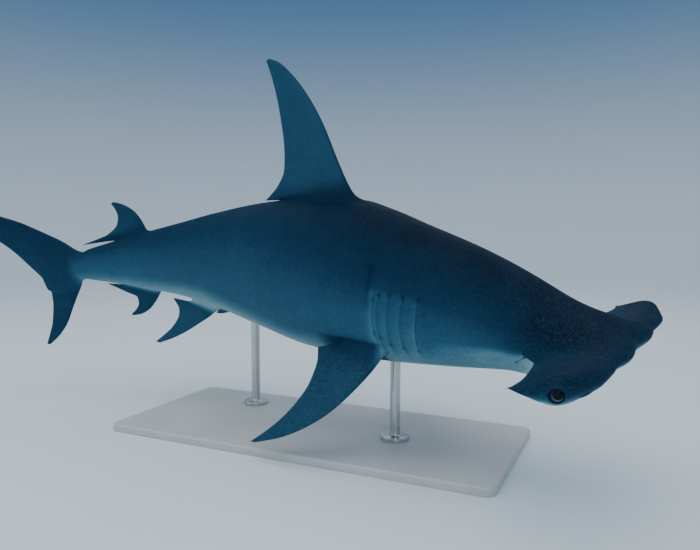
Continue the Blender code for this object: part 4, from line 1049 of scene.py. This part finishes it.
def gill_tone_and_painted_light(plan, depth):
    """What the gills add to the tone: a paler patch, painted light right behind each slit and
    painted shade just ahead of it, a dimple of painted shade at each slit's two ends, and
    painted shade in the crease behind the last.  All of them fade with the distance, by a
    power of e."""
    s = plan[:, 0]
    tone = GILL_PALE * between(s, 16.9, 22.6, 0.5, 0.5)
    for station, _, _ in GILL_SLITS:
        past = s - station
        # painted light just behind each slit, painted shade just ahead of it
        tone += FLAP_PAINTED_LIGHT * np.exp(-np.abs(past) / 0.6) * smoothstep(past / 0.12) * (past < 1.35)
        tone -= FLAP_PAINTED_SHADE * np.exp(-np.abs(past) / 0.22) * (past < 0)
    ends = np.array([body_point(station, math.radians(degrees))
                     for station, *turns in GILL_SLITS for degrees in turns])
    folded = np.stack((s, np.abs(plan[:, 1]), plan[:, 2]), -1)
    nearest = np.linalg.norm(folded[:, None] - ends, axis=-1).min(1)
    # painted shade in the crease behind the gills and at the slits' ends
    crease_shade = bump(s, 22.35, 0.30) * between(depth, -0.02, 0.66, 0.1, 0.2)
    return (tone * between(depth, -0.80, 0.36, 0.3, 0.16) - CREASE_PAINTED_SHADE * crease_shade
            - DIMPLE_PAINTED_SHADE * bump(nearest, 0.0, 0.2))


def flank_tone(plan, depth):
    """Tone above the pale: by depth, darker on the back ahead of the dorsal fin, and the
    head's own tone ahead of the gills."""
    s = plan[:, 0]
    ahead = smoothstep((13.0 - s) / 7.5)
    body = along(COUNTERSHADE, depth) + 0.03 * smoothstep((s - 54) / 12)
    body -= FRONT_DARK * smoothstep((depth + 0.2) / 0.7) * smoothstep((42 - s) / 20)
    lobes = 0.01 * smoothstep((np.abs(plan[:, 1]) - 4) / 3)
    return body * (1 - ahead) + (along(HEAD_SHADE, depth) + lobes) * ahead


def belly_pale(plan, depth):
    """Share of the belly's pale: eased in by depth between the table's two, with a second
    step low on the belly, and reaching up to the edge under the middle of the hammer."""
    s = plan[:, 0]
    start, full, most = (along(PALE, s, column) for column in (1, 2, 3))
    front = smoothstep((7.0 - s) / 1.5) * (1 - smoothstep((np.abs(plan[:, 1]) - 8.5) / 2.5))
    start, full = start + 0.18 * front, full + 0.30 * front
    low = LOW_PALE * smoothstep((-0.62 - depth) / 0.33) * smoothstep((60 - s) / 12)
    return np.maximum(smoothstep((start - depth) / (start - full)) * most, low)


def fin_tone(plan, values):
    """A fin's own tone, with painted shade towards the root and dusky at the tip of a pale face."""
    dusky = np.where(values["tone"] > 0.5, smoothstep((values["span"] - 0.72) / 0.25), 0.0)
    # painted shade where the fin meets the body, deeper on the paired fins
    root = np.where(np.abs(plan[:, 1]) > 3, 0.46, 0.14) * (1 - smoothstep(values["span"] / 0.34))
    return (values["tone"] * (1 - dusky) + FIN_DUSK * dusky) * (1 - root)


def shade_of(plan, depth, values):
    """The skin's tone: 0 on the back, about 0.5 low on the flank, 1 on the pale belly,
    with the shadow behind the pectoral fins, the tail's even tone and the fins' own."""
    s = plan[:, 0]
    flank = flank_tone(plan, depth)
    shade = flank + (1 - flank) * belly_pale(plan, depth) + gill_tone_and_painted_light(plan, depth)
    # painted shadow on the body behind and below each pectoral fin's root
    pectoral_shadow = between(s, 21.4, 30.0, 0.8, 3.0) * between(depth, -0.95, -0.47, 0.12, 0.07)
    shade *= 1 - PECTORAL_PAINTED_SHADOW * pectoral_shadow
    tail = smoothstep((s - 72.5) / 2.0)
    shade = shade * (1 - tail) + (TAIL_TONE + TAIL_FALL * (1 - depth)) * tail
    shade = shade * (1 - values["fin"]) + fin_tone(plan, values) * values["fin"]
    # pale rims: the paler slope round each eye, and the painted highlight under each nostril
    return np.clip(shade + RIM_PALE_AND_HIGHLIGHT * values["rim"], 0, 1)


# The whole skin ------------------------------------------------------------------

def skin_points():
    """All parts of the skin on the body plan: what grows from the open blocks, the body,
    the hammer's two sheets and the cap on the tail's tip."""
    station, angle, body_keep = body_grid()
    top_keep = np.ones((len(HAMMER_C) - 1, ROWS), bool)
    low_keep = top_keep.copy()
    parts = gills(station, angle, body_keep) + head_parts(body_keep, top_keep, low_keep)
    body = body_point(station, angle)
    out = [quads(points, closed=True, values=values) for points, values in parts + fins(body)]
    out.append(quads(body, body_keep, closed=True))
    for up, keep in ((1, top_keep), (-1, low_keep)):
        sheet = hammer_point(HAMMER_C[:, None], HAMMER_V[None, :], up)
        values = blank(sheet)
        values[..., SHEET] = up
        out.append(quads(sheet, keep, values=values))
    ring, half = body[-1], AROUND // 2
    out.append(quads(np.stack((ring[:half + 1], np.vstack((ring[:1], ring[:half - 1:-1]))))))
    return out


BOX_MARGIN = 5e-5                   # metres the skin keeps inside the solids' box


def make_skin(material):
    """The skin: welded on the plan, toned there, carried to its place and kept inside the
    solids' box."""
    mesh, plan, values = weld(skin_points(), dist=2e-5)
    depth = depth_of(plan, values["sheet"])
    low, high = (np.array(corner) for corner in cad_box)
    points = np.clip(posed(plan), low + BOX_MARGIN, high - BOX_MARGIN)
    skin = mesh_object("shark_skin", mesh, points, material, mirrored=True)
    attribute(skin.data, "shade", shade_of(plan, depth, values))
    attribute(skin.data, "plan", plan)
    attribute(skin.data, "hollow_shade", values["hollow_shade"])
    attribute(skin.data, "fin", np.stack([values[k] for k in ("chord", "span", "fin")], -1))
    attribute(skin.data, "depth", depth)
    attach(skin, "root")
    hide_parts(*[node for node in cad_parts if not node.startswith(("eye_", "stand_"))])


# Materials ---------------------------------------------------------------------

class Finish:
    """Builds one material's nodes; every call adds a node and returns its output."""

    def __init__(self, name, uniform):
        """A new material, with the shader's sockets that have one value all over."""
        self.material = bpy.data.materials.new(name)
        self.material.use_nodes = True
        self.nodes, self.links = self.material.node_tree.nodes, self.material.node_tree.links
        self.shader = self.nodes["Principled BSDF"]
        for socket, value in uniform.items():
            self.shader.inputs[socket].default_value = value

    def add(self, kind, inputs=(), output=0, **settings):
        """A node with its settings and inputs; an input is a number or an output."""
        node = self.nodes.new("ShaderNode" + kind)
        for key, value in settings.items():
            setattr(node, key, value)
        for socket, value in dict(inputs).items():
            self.set(node.inputs[socket], value)
        return node.outputs[output]

    def set(self, socket, value):
        """Links an output to a socket, or sets its value."""
        if isinstance(value, bpy.types.NodeSocket):
            self.links.new(value, socket)
        else:
            socket.default_value = value

    def vector(self, operation, a, b=(0, 0, 0), output=0):
        """Vector arithmetic; output 1 is the number that a length or product gives."""
        return self.add("VectorMath", {0: a, 1: b}, output, operation=operation)

    def math(self, operation, a, b=0.0, clamp=False):
        """Arithmetic on two numbers."""
        return self.add("Math", {0: a, 1: b}, operation=operation, use_clamp=clamp)

    def times(self, *factors):
        """The product of two or more numbers."""
        product = factors[0]
        for factor in factors[1:]:
            product = self.math("MULTIPLY", product, factor)
        return product

    def spread(self, value, low, high, to_low=0.0, to_high=1.0):
        """Maps low..high smoothly to to_low..to_high and holds it beyond."""
        return self.add("MapRange", {0: value, 1: low, 2: high, 3: to_low, 4: to_high},
                        interpolation_type="SMOOTHSTEP")

    def noise(self, vector, scale, detail=3.0, roughness=0.5):
        """Cloudy noise from 0 to 1 about a half."""
        return self.add("TexNoise", {"Vector": vector, "Scale": scale, "Detail": detail,
                                     "Roughness": roughness})

    def mix(self, factor, a, b, blend="MIX"):
        """Colour a with a share of b."""
        return self.add("Mix", {0: factor, 6: a, 7: b}, 2, data_type="RGBA", blend_type=blend)

    def ramp(self, value, stops):
        """Colour by value through stops of (place, colour)."""
        node = self.nodes.new("ShaderNodeValToRGB")
        self.links.new(value, node.inputs[0])
        elements = node.color_ramp.elements
        while len(elements) < len(stops):
            elements.new(0.5)
        for element, (place, colour) in zip(elements, stops):
            element.position, element.color = place, (*colour, 1.0)
        return node.outputs[0]

    def read(self, name, output="Fac"):
        """What the mesh's points carry under a name."""
        return self.add("Attribute", output=output, attribute_name=name)

    def place(self):
        """The point's place on the object."""
        return self.add("TexCoord", output="Object")

    def split(self, vector):
        """A vector's three numbers."""
        return self.add("SeparateXYZ", {0: vector}).node.outputs

    def joined(self, x, y, z):
        """A vector of three numbers."""
        return self.add("CombineXYZ", {0: x, 1: y, 2: z})

    def stretched(self, vector, scale):
        """A vector times a scale along each axis."""
        return self.add("Mapping", {"Vector": vector, "Scale": scale})

    def bump(self, height, strength, distance, below=None):
        """The normal bent by a height, on top of the normal below."""
        inputs = {"Height": height, "Strength": strength, "Distance": distance}
        if below is not None:
            inputs["Normal"] = below
        return self.add("Bump", inputs)

    def finish(self, **sockets):
        """Sets the shader's sockets, whose names have _ for a space."""
        for socket, value in sockets.items():
            self.set(self.shader.inputs[socket.replace("_", " ")], value)
        return self.material


SKIN_TONES = (
    (0.00, (0.002, 0.011, 0.028)), (0.25, (0.010, 0.041, 0.083)), (0.50, (0.032, 0.102, 0.172)),
    (0.68, (0.072, 0.192, 0.272)), (0.84, (0.165, 0.330, 0.395)), (1.00, (0.305, 0.480, 0.525)))
# the second colour here is a fine speckle that is partly painted glints of light
EDGE_COLOUR, SPECKLE_AND_GLINT_COLOUR = (0.006, 0.020, 0.034, 1), (0.062, 0.145, 0.205, 1)
# the second colour here is painted shade in the furrow at the mouth's corner
PORE_COLOUR, CORNER_SHADE_COLOUR = (0.010, 0.018, 0.024, 1), (0.004, 0.016, 0.030, 1)
# the second colour here is painted shade in slits, mouth, nostrils, lids and sockets
LINE_COLOUR, HOLLOW_SHADE_COLOUR = (0.010, 0.020, 0.028, 1), (0.006, 0.010, 0.014, 1)
CORNER_FROM, CORNER_TO = (8.05, 90.0), (8.95, 106.0)    # painted shade in the mouth's corner furrow: station, angle
LINE_DEPTH = 0.16                   # the flank line's depth


def corner_furrow_shade(f, x, y, z):
    """Painted shade in the furrow at the mouth's corner, on both sides: 1 where the distance to
    a straight run is small.  The nearest place on the run is the dot product over its square."""
    start, end = (body_point(s, math.radians(degrees)) for s, degrees in (CORNER_FROM, CORNER_TO))
    run = end - start
    away = f.vector("SUBTRACT", f.joined(x, f.math("ABSOLUTE", y), z), start)
    share = f.math("DIVIDE", f.vector("DOT_PRODUCT", away, run, 1), float(run @ run), clamp=True)
    miss = f.vector("SUBTRACT", away, f.vector("MULTIPLY", f.joined(share, share, share), run))
    miss = f.times(f.vector("LENGTH", miss, output=1), f.spread(share, 0.0, 1.0, 1.0, 2.0))
    return f.spread(miss, 0.05, 0.16, 0.9, 0.0)


def skin_material():
    """Shark skin: countershaded, mottled, with a fine speckle and painted glints of light on the
    head and the paired fins, dark edges to the fins, faint fin rays, pores under the snout, a
    line down the flank, a fine grain, and painted shade in the mouth's corner furrow, in slits,
    on lids and in sockets.  Clouds of three sizes are added to the points' own tone."""
    f = Finish("shark_skin", {"IOR": 1.09})
    place, plan, fin = f.place(), f.read("plan", "Vector"), f.read("fin", "Vector")
    station, left, up = f.split(plan)
    chord, _, on_fin = f.split(fin)
    paired = f.spread(f.math("ABSOLUTE", left), 2.5, 3.5)

    soft = f.noise(place, 7.0, 4.0, 0.6)
    patch = f.noise(f.stretched(plan, (0.35, 0.9, 0.9)), 1.0, 5.0, 0.62)
    shade = f.math("ADD", f.read("shade"), f.spread(soft, 0.25, 0.75, -0.013, 0.013))
    shade = f.math("ADD", shade, f.spread(patch, 0.3, 0.7, -0.017, 0.017))
    shade = f.math("ADD", shade, f.spread(f.noise(place, 110.0, 3.0, 0.75), 0.3, 0.7, -0.032, 0.032))
    colour = f.ramp(shade, SKIN_TONES)

    edge = f.times(f.spread(chord, 0.0, 0.022, 1.0, 0.0), on_fin, f.spread(paired, 0.0, 1.0, 0.6, 0.1))
    colour = f.mix(edge, colour, EDGE_COLOUR)
    # a fine speckle with painted glints of light, in streaks, on the head and the paired fins
    glint_streak = f.noise(f.stretched(plan, (6.0, 4.5, 7.0)), 1.1, 3.0, 0.75)
    speckle_and_glints = f.math("MAXIMUM", f.spread(station, 6.0, 15.0, 0.44, 0.06), f.times(paired, on_fin))
    colour = f.mix(f.times(f.spread(glint_streak, 0.47, 0.72), speckle_and_glints, 0.50), colour, SPECKLE_AND_GLINT_COLOUR)
    pores = f.add("TexVoronoi", {"Vector": plan, "Scale": 2.6, "Randomness": 0.9})
    dots = f.times(f.spread(pores, 0.05, 0.13, 1.0, 0.0), f.spread(station, 6.5, 9.5, 0.5, 0.0))
    colour = f.mix(dots, colour, PORE_COLOUR)
    # painted shade in the furrow at the mouth's corner
    colour = f.mix(corner_furrow_shade(f, station, left, up), colour, CORNER_SHADE_COLOUR)

    off = f.math("ABSOLUTE", f.math("SUBTRACT", f.read("depth"), LINE_DEPTH))
    line = f.times(f.spread(off, 0.004, 0.016, 1.0, 0.0), f.spread(station, 14.0, 20.0),
                   f.spread(station, 66.0, 73.0, 1.0, 0.0), f.math("SUBTRACT", 1.0, on_fin))
    colour = f.mix(f.times(line, 0.10), colour, LINE_COLOUR)
    tiny = f.ramp(f.noise(place, 260.0, 2.0, 0.6), ((0.3, (0.5,) * 3), (0.7, (1.0,) * 3)))
    colour = f.mix(0.22, colour, f.mix(1.0, colour, tiny, "MULTIPLY"))
    # painted shade in the slits, the mouth, the nostrils, on the lids and in the eye sockets
    colour = f.mix(f.times(f.read("hollow_shade"), 0.93), colour, HOLLOW_SHADE_COLOUR)

    rays = f.noise(f.stretched(fin, (46.0, 1.6, 0.0)), 1.0, 2.0, 0.5)
    grain = f.add("TexVoronoi", {"Vector": place, "Scale": 620.0})
    normal = f.bump(f.times(rays, on_fin), 0.25, 0.0012)
    for height, strength, distance in ((line, 0.15, 0.0006), (patch, 0.35, 0.004),
                                       (grain, 0.35, 0.0006)):
        normal = f.bump(height, strength, distance, normal)
    roughness = f.spread(soft, 0.2, 0.8, 0.60, 0.50)
    return f.finish(Base_Color=colour, Roughness=roughness, Normal=normal)


def eye_material():
    """The eye by the polar angle from its axis, kept as an attribute: black pupil, a silvery
    ring with fine rays round it, a dark outer ring that is partly painted shadow of the lids,
    and painted shade over the top under the brow."""
    f = Finish("shark_eye", {"Roughness": 0.08, "IOR": 1.14})
    ball = f.read("round", "Vector")
    rays = f.noise(f.stretched(ball, (22.0, 22.0, 22.0)), 1.0, 3.0, 0.6)
    polar = f.math("ADD", f.read("polar"), f.spread(rays, 0.2, 0.8, -1.2, 1.2))
    # the dark outer ring is partly painted shadow of the lids
    colour = f.ramp(f.math("DIVIDE", polar, 90.0), (
        (0.00, (0.001, 0.002, 0.003)), (0.385, (0.002, 0.003, 0.005)), (0.41, (0.040, 0.075, 0.085)),
        (0.46, (0.110, 0.190, 0.205)), (0.53, (0.080, 0.140, 0.150)), (0.57, (0.008, 0.016, 0.022)),
        (1.00, (0.005, 0.009, 0.013))))
    # painted shade over the eye's top, under the brow
    brow_shade = f.spread(f.split(ball)[2], -0.55, 0.20, 0.0, 0.9)
    return f.finish(Base_Color=f.mix(brow_shade, colour, (0.006, 0.012, 0.018, 1)))


def paint_material():
    """Satin paint with a faint orange peel."""
    f = Finish("stand_paint", {"Coat Weight": 0.12, "Coat Roughness": 0.3})
    place = f.place()
    cloud = f.noise(place, 5.0, 3.0, 0.5)
    colour = f.mix(f.spread(cloud, 0.3, 0.7), (0.50, 0.51, 0.50, 1), (0.55, 0.56, 0.55, 1))
    roughness = f.spread(cloud, 0.3, 0.7, 0.42, 0.50)
    normal = f.bump(f.noise(place, 420.0, 2.0, 0.5), 0.12, 0.0004)
    return f.finish(Base_Color=colour, Roughness=roughness, Normal=normal)


def steel_material():
    """Brushed steel, with fine lines round the rods and a little dulling in patches."""
    f = Finish("stand_steel", {"Metallic": 1.0})
    place = f.place()
    lines = f.noise(f.stretched(place, (6.0, 6.0, 900.0)), 1.0, 2.0, 0.6)
    cloud = f.noise(place, 18.0, 3.0, 0.5)
    colour = f.mix(f.spread(lines, 0.3, 0.7), (0.48, 0.49, 0.50, 1), (0.60, 0.61, 0.62, 1))
    roughness = f.math("ADD", f.spread(cloud, 0.3, 0.7, 0.24, 0.34),
                       f.spread(lines, 0.3, 0.7, 0.0, 0.08))
    return f.finish(Base_Color=colour, Roughness=roughness, Normal=f.bump(lines, 0.15, 0.0002))


def floor_material():
    """A matt pale floor that turns blue with height where it rises."""
    f = Finish("floor", {"Specular IOR Level": 0.2, "Roughness": 0.85})
    place = f.place()
    colour = f.mix(f.noise(place, 0.8, 3.0, 0.5), (0.70, 0.78, 0.82, 1), (0.73, 0.81, 0.85, 1))
    colour = f.mix(f.spread(f.split(place)[2], 0.0, 6.5), colour, (0.12, 0.27, 0.46, 1))
    return f.finish(Base_Color=colour)


# Eyes ----------------------------------------------------------------------------

GAZE_UP, GAZE_FORWARD = 20.0, 10.0  # degrees the pupil turns from the way the lids face
EYE_CLEAR, EYE_BULGE = 0.016, 0.010     # how much smaller the ball is, how far its front bulges
BULGE_WIDTH = 32.2                  # degrees from the axis
EYE_RINGS, EYE_SIDES = 48, 64


def make_eye(side, word, material):
    """An eyeball: a ball turned about its axis, with the front bulging a little more.
    Its radius is the ball's plus a low bell over the pupil."""
    centre, out, back = eye_frame(side)
    up = np.array((0.0, 0.0, 1.0))
    axis = out + up * math.tan(math.radians(GAZE_UP)) - back * math.tan(math.radians(GAZE_FORWARD))
    axis /= np.linalg.norm(axis)
    u = np.cross(axis, up)
    u /= np.linalg.norm(u)
    w = np.cross(axis, u)
    polar = np.linspace(0, np.pi, EYE_RINGS + 1)[:, None]
    turn = np.linspace(0, 2 * np.pi, EYE_SIDES + 1)[:-1][None, :]
    radius = EYE_RADIUS - EYE_CLEAR + EYE_BULGE * bump(np.degrees(polar), 0.0, BULGE_WIDTH)
    grid = (centre + (radius * np.cos(polar))[..., None] * axis
            + (radius * np.sin(polar) * np.cos(turn))[..., None] * u
            + (radius * np.sin(polar) * np.sin(turn))[..., None] * w)
    mesh, plan, _ = weld([quads(grid, closed=True)], dist=1e-5)
    eye = mesh_object("shark_eye_" + word, mesh, posed(plan), material, mirrored=True)
    local = (plan - centre) / EYE_RADIUS
    level = np.clip(local @ axis / np.linalg.norm(local, axis=1), -1, 1)
    attribute(eye.data, "polar", np.degrees(np.arccos(level)))
    attribute(eye.data, "round", local)
    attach(eye, "root")
    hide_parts("eye_" + word)


# Stand ---------------------------------------------------------------------------

BASE_SIZE = (1.30, 0.56, 0.025)
BASE_CORNER, BASE_EDGE = 0.03, 0.006
BASE_FOOT = ((BASE_CORNER, 0.0), (0.004, 0.0), (0.001, 0.0005), (0.0, 0.003))   # inset, height
BASE_RIM = 0.004                    # from the round edge to the top's next ring
CORNER_POINTS, EDGE_POINTS, SMALL_POINTS = 13, 9, 6
ROD_RADIUS, ROD_FILLET, ROD_CLEAR = 0.016, 0.006, 0.0006
ROD_RING = 0.02                     # height of a ring over the flange
FLANGE_RADIUS, FLANGE_HEIGHT, FLANGE_CLEAR = 0.045, 0.012, 0.0003
FLANGE_EDGE, FLANGE_FOOT = 0.002, 0.001     # radius of the upper edge, chamfer of the lower
ROD_STATIONS = {"front": 24.0, "rear": 45.0}
SCREW_COUNT, SCREW_RADIUS, SCREW_CIRCLE = 4, 0.0042, 0.032
SCREW_HEIGHT, SCREW_SINK = 0.0022, 0.0002
SCREW_SOCKET = ((0.0018, 0.0021), (0.0016, 0.0008), (0.0, 0.0008))      # radius, height


def make_base(material):
    """The base: an edge profile of (inset, height) carried round a rectangle with
    rounded corners, from the middle of the underside to the middle of the top."""
    length, width, height = BASE_SIZE
    quarter = np.linspace(0, np.pi / 2, CORNER_POINTS)
    turn = np.concatenate([quarter + k * np.pi / 2 for k in range(4)])
    corner_x = np.repeat((1, -1, -1, 1), CORNER_POINTS) * (length / 2 - BASE_CORNER)
    corner_y = np.repeat((1, 1, -1, -1), CORNER_POINTS) * (width / 2 - BASE_CORNER)
    edge = np.linspace(0, np.pi / 2, EDGE_POINTS)
    rounded = np.stack((1 - np.cos(edge), np.sin(edge) - 1), -1) * BASE_EDGE + (0.0, height)
    top = ((BASE_EDGE + BASE_RIM, height), (BASE_CORNER, height))
    inset, level = np.concatenate((BASE_FOOT, rounded, top)).T
    reach = (BASE_CORNER - inset)[:, None]
    grid = np.stack((corner_x + reach * np.cos(turn), corner_y + reach * np.sin(turn),
                     np.broadcast_to(level[:, None], (len(level), len(turn)))), -1)
    caps = []
    for row in (grid[0], grid[-1]):
        block = row.reshape(4, CORNER_POINTS, 3)[:, 0]
        caps.append(quads(np.stack((block[[0, 1]], block[[3, 2]]))))
    mesh, points, _ = weld([quads(grid, closed=True)] + caps, dist=1e-6)
    base = mesh_object("stand_base_finish", mesh, points, material, 35.0)
    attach(base, "root")
    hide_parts("stand_base")


def belly_height(x, y, station):
    """Height of the posed belly over floor points near a station."""
    def under(s, angle):
        """A point of the body in its place."""
        return posed(body_point(s, angle))

    s, angle = find(under, np.full_like(x, station), np.full_like(x, np.pi), np.stack((x, y), -1))
    return under(s, angle)[..., 2]


def make_rod(word, material):
    """An upright rod on a flange: a turned profile, with round quarters at the flange's
    edge and the rod's foot, whose top follows the belly and is closed at its middle."""
    low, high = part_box("stand_rod_" + word)
    centre = ((low[0] + high[0]) / 2, (low[1] + high[1]) / 2)
    foot = BASE_SIZE[2] + FLANGE_CLEAR
    top = foot + FLANGE_HEIGHT
    corner = np.linspace(0, np.pi / 2, SMALL_POINTS)[:, None]
    profile = np.concatenate((
        [(0.0, foot), (FLANGE_RADIUS - FLANGE_FOOT, foot), (FLANGE_RADIUS, foot + FLANGE_FOOT)],
        np.hstack((FLANGE_RADIUS - FLANGE_EDGE * (1 - np.cos(corner)),
                   top - FLANGE_EDGE * (1 - np.sin(corner)))),
        [(ROD_RADIUS + ROD_FILLET, top)],
        np.hstack((ROD_RADIUS + ROD_FILLET * (1 - np.sin(corner)),
                   top + ROD_FILLET * (1 - np.cos(corner)))),
        [(ROD_RADIUS, top + ROD_RING), (ROD_RADIUS, low[2])]))
    grid = turned(profile, centre)
    rim = grid[-1]
    rim[:, 2] = belly_height(rim[:, 0], rim[:, 1], ROD_STATIONS[word]) - ROD_CLEAR
    grid = np.concatenate((grid, np.broadcast_to(rim.mean(0), (1, *rim.shape))))
    mesh, points, _ = weld([quads(grid, closed=True)], dist=1e-6)
    rod = mesh_object("stand_rod_finish_" + word, mesh, points, material, 35.0)
    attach(rod, "root")
    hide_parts("stand_rod_" + word)
    make_screws(word, centre, top, material)


def make_screws(word, centre, top, material):
    """Screw heads in a circle on a flange: each a turned dome with a socket in it."""
    dome = np.linspace(0, np.pi / 2, SMALL_POINTS)[:-1]
    profile = np.concatenate((
        [(0.0, top - SCREW_SINK)],
        np.stack((SCREW_RADIUS * np.cos(dome), top + SCREW_HEIGHT * np.sin(dome)), -1),
        np.array(SCREW_SOCKET) + (0.0, top)))
    heads = []
    for k in range(SCREW_COUNT):
        turn = (k + 0.5) * 2 * math.pi / SCREW_COUNT
        place = (centre[0] + SCREW_CIRCLE * math.cos(turn), centre[1] + SCREW_CIRCLE * math.sin(turn))
        heads.append(quads(turned(profile, place, 24), closed=True))
    mesh, points, _ = weld(heads, dist=1e-6)
    screws = mesh_object("stand_screws_" + word, mesh, points, material, 40.0)
    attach(screws, "root")


# The whole model -------------------------------------------------------------------

add_camera()
add_lights()
add_floor(floor_material())
make_skin(skin_material())
eye_finish = eye_material()
for side, word in ((1, "left"), (-1, "right")):
    make_eye(side, word, eye_finish)
make_base(paint_material())
steel = steel_material()
for word in ROD_STATIONS:
    make_rod(word, steel)
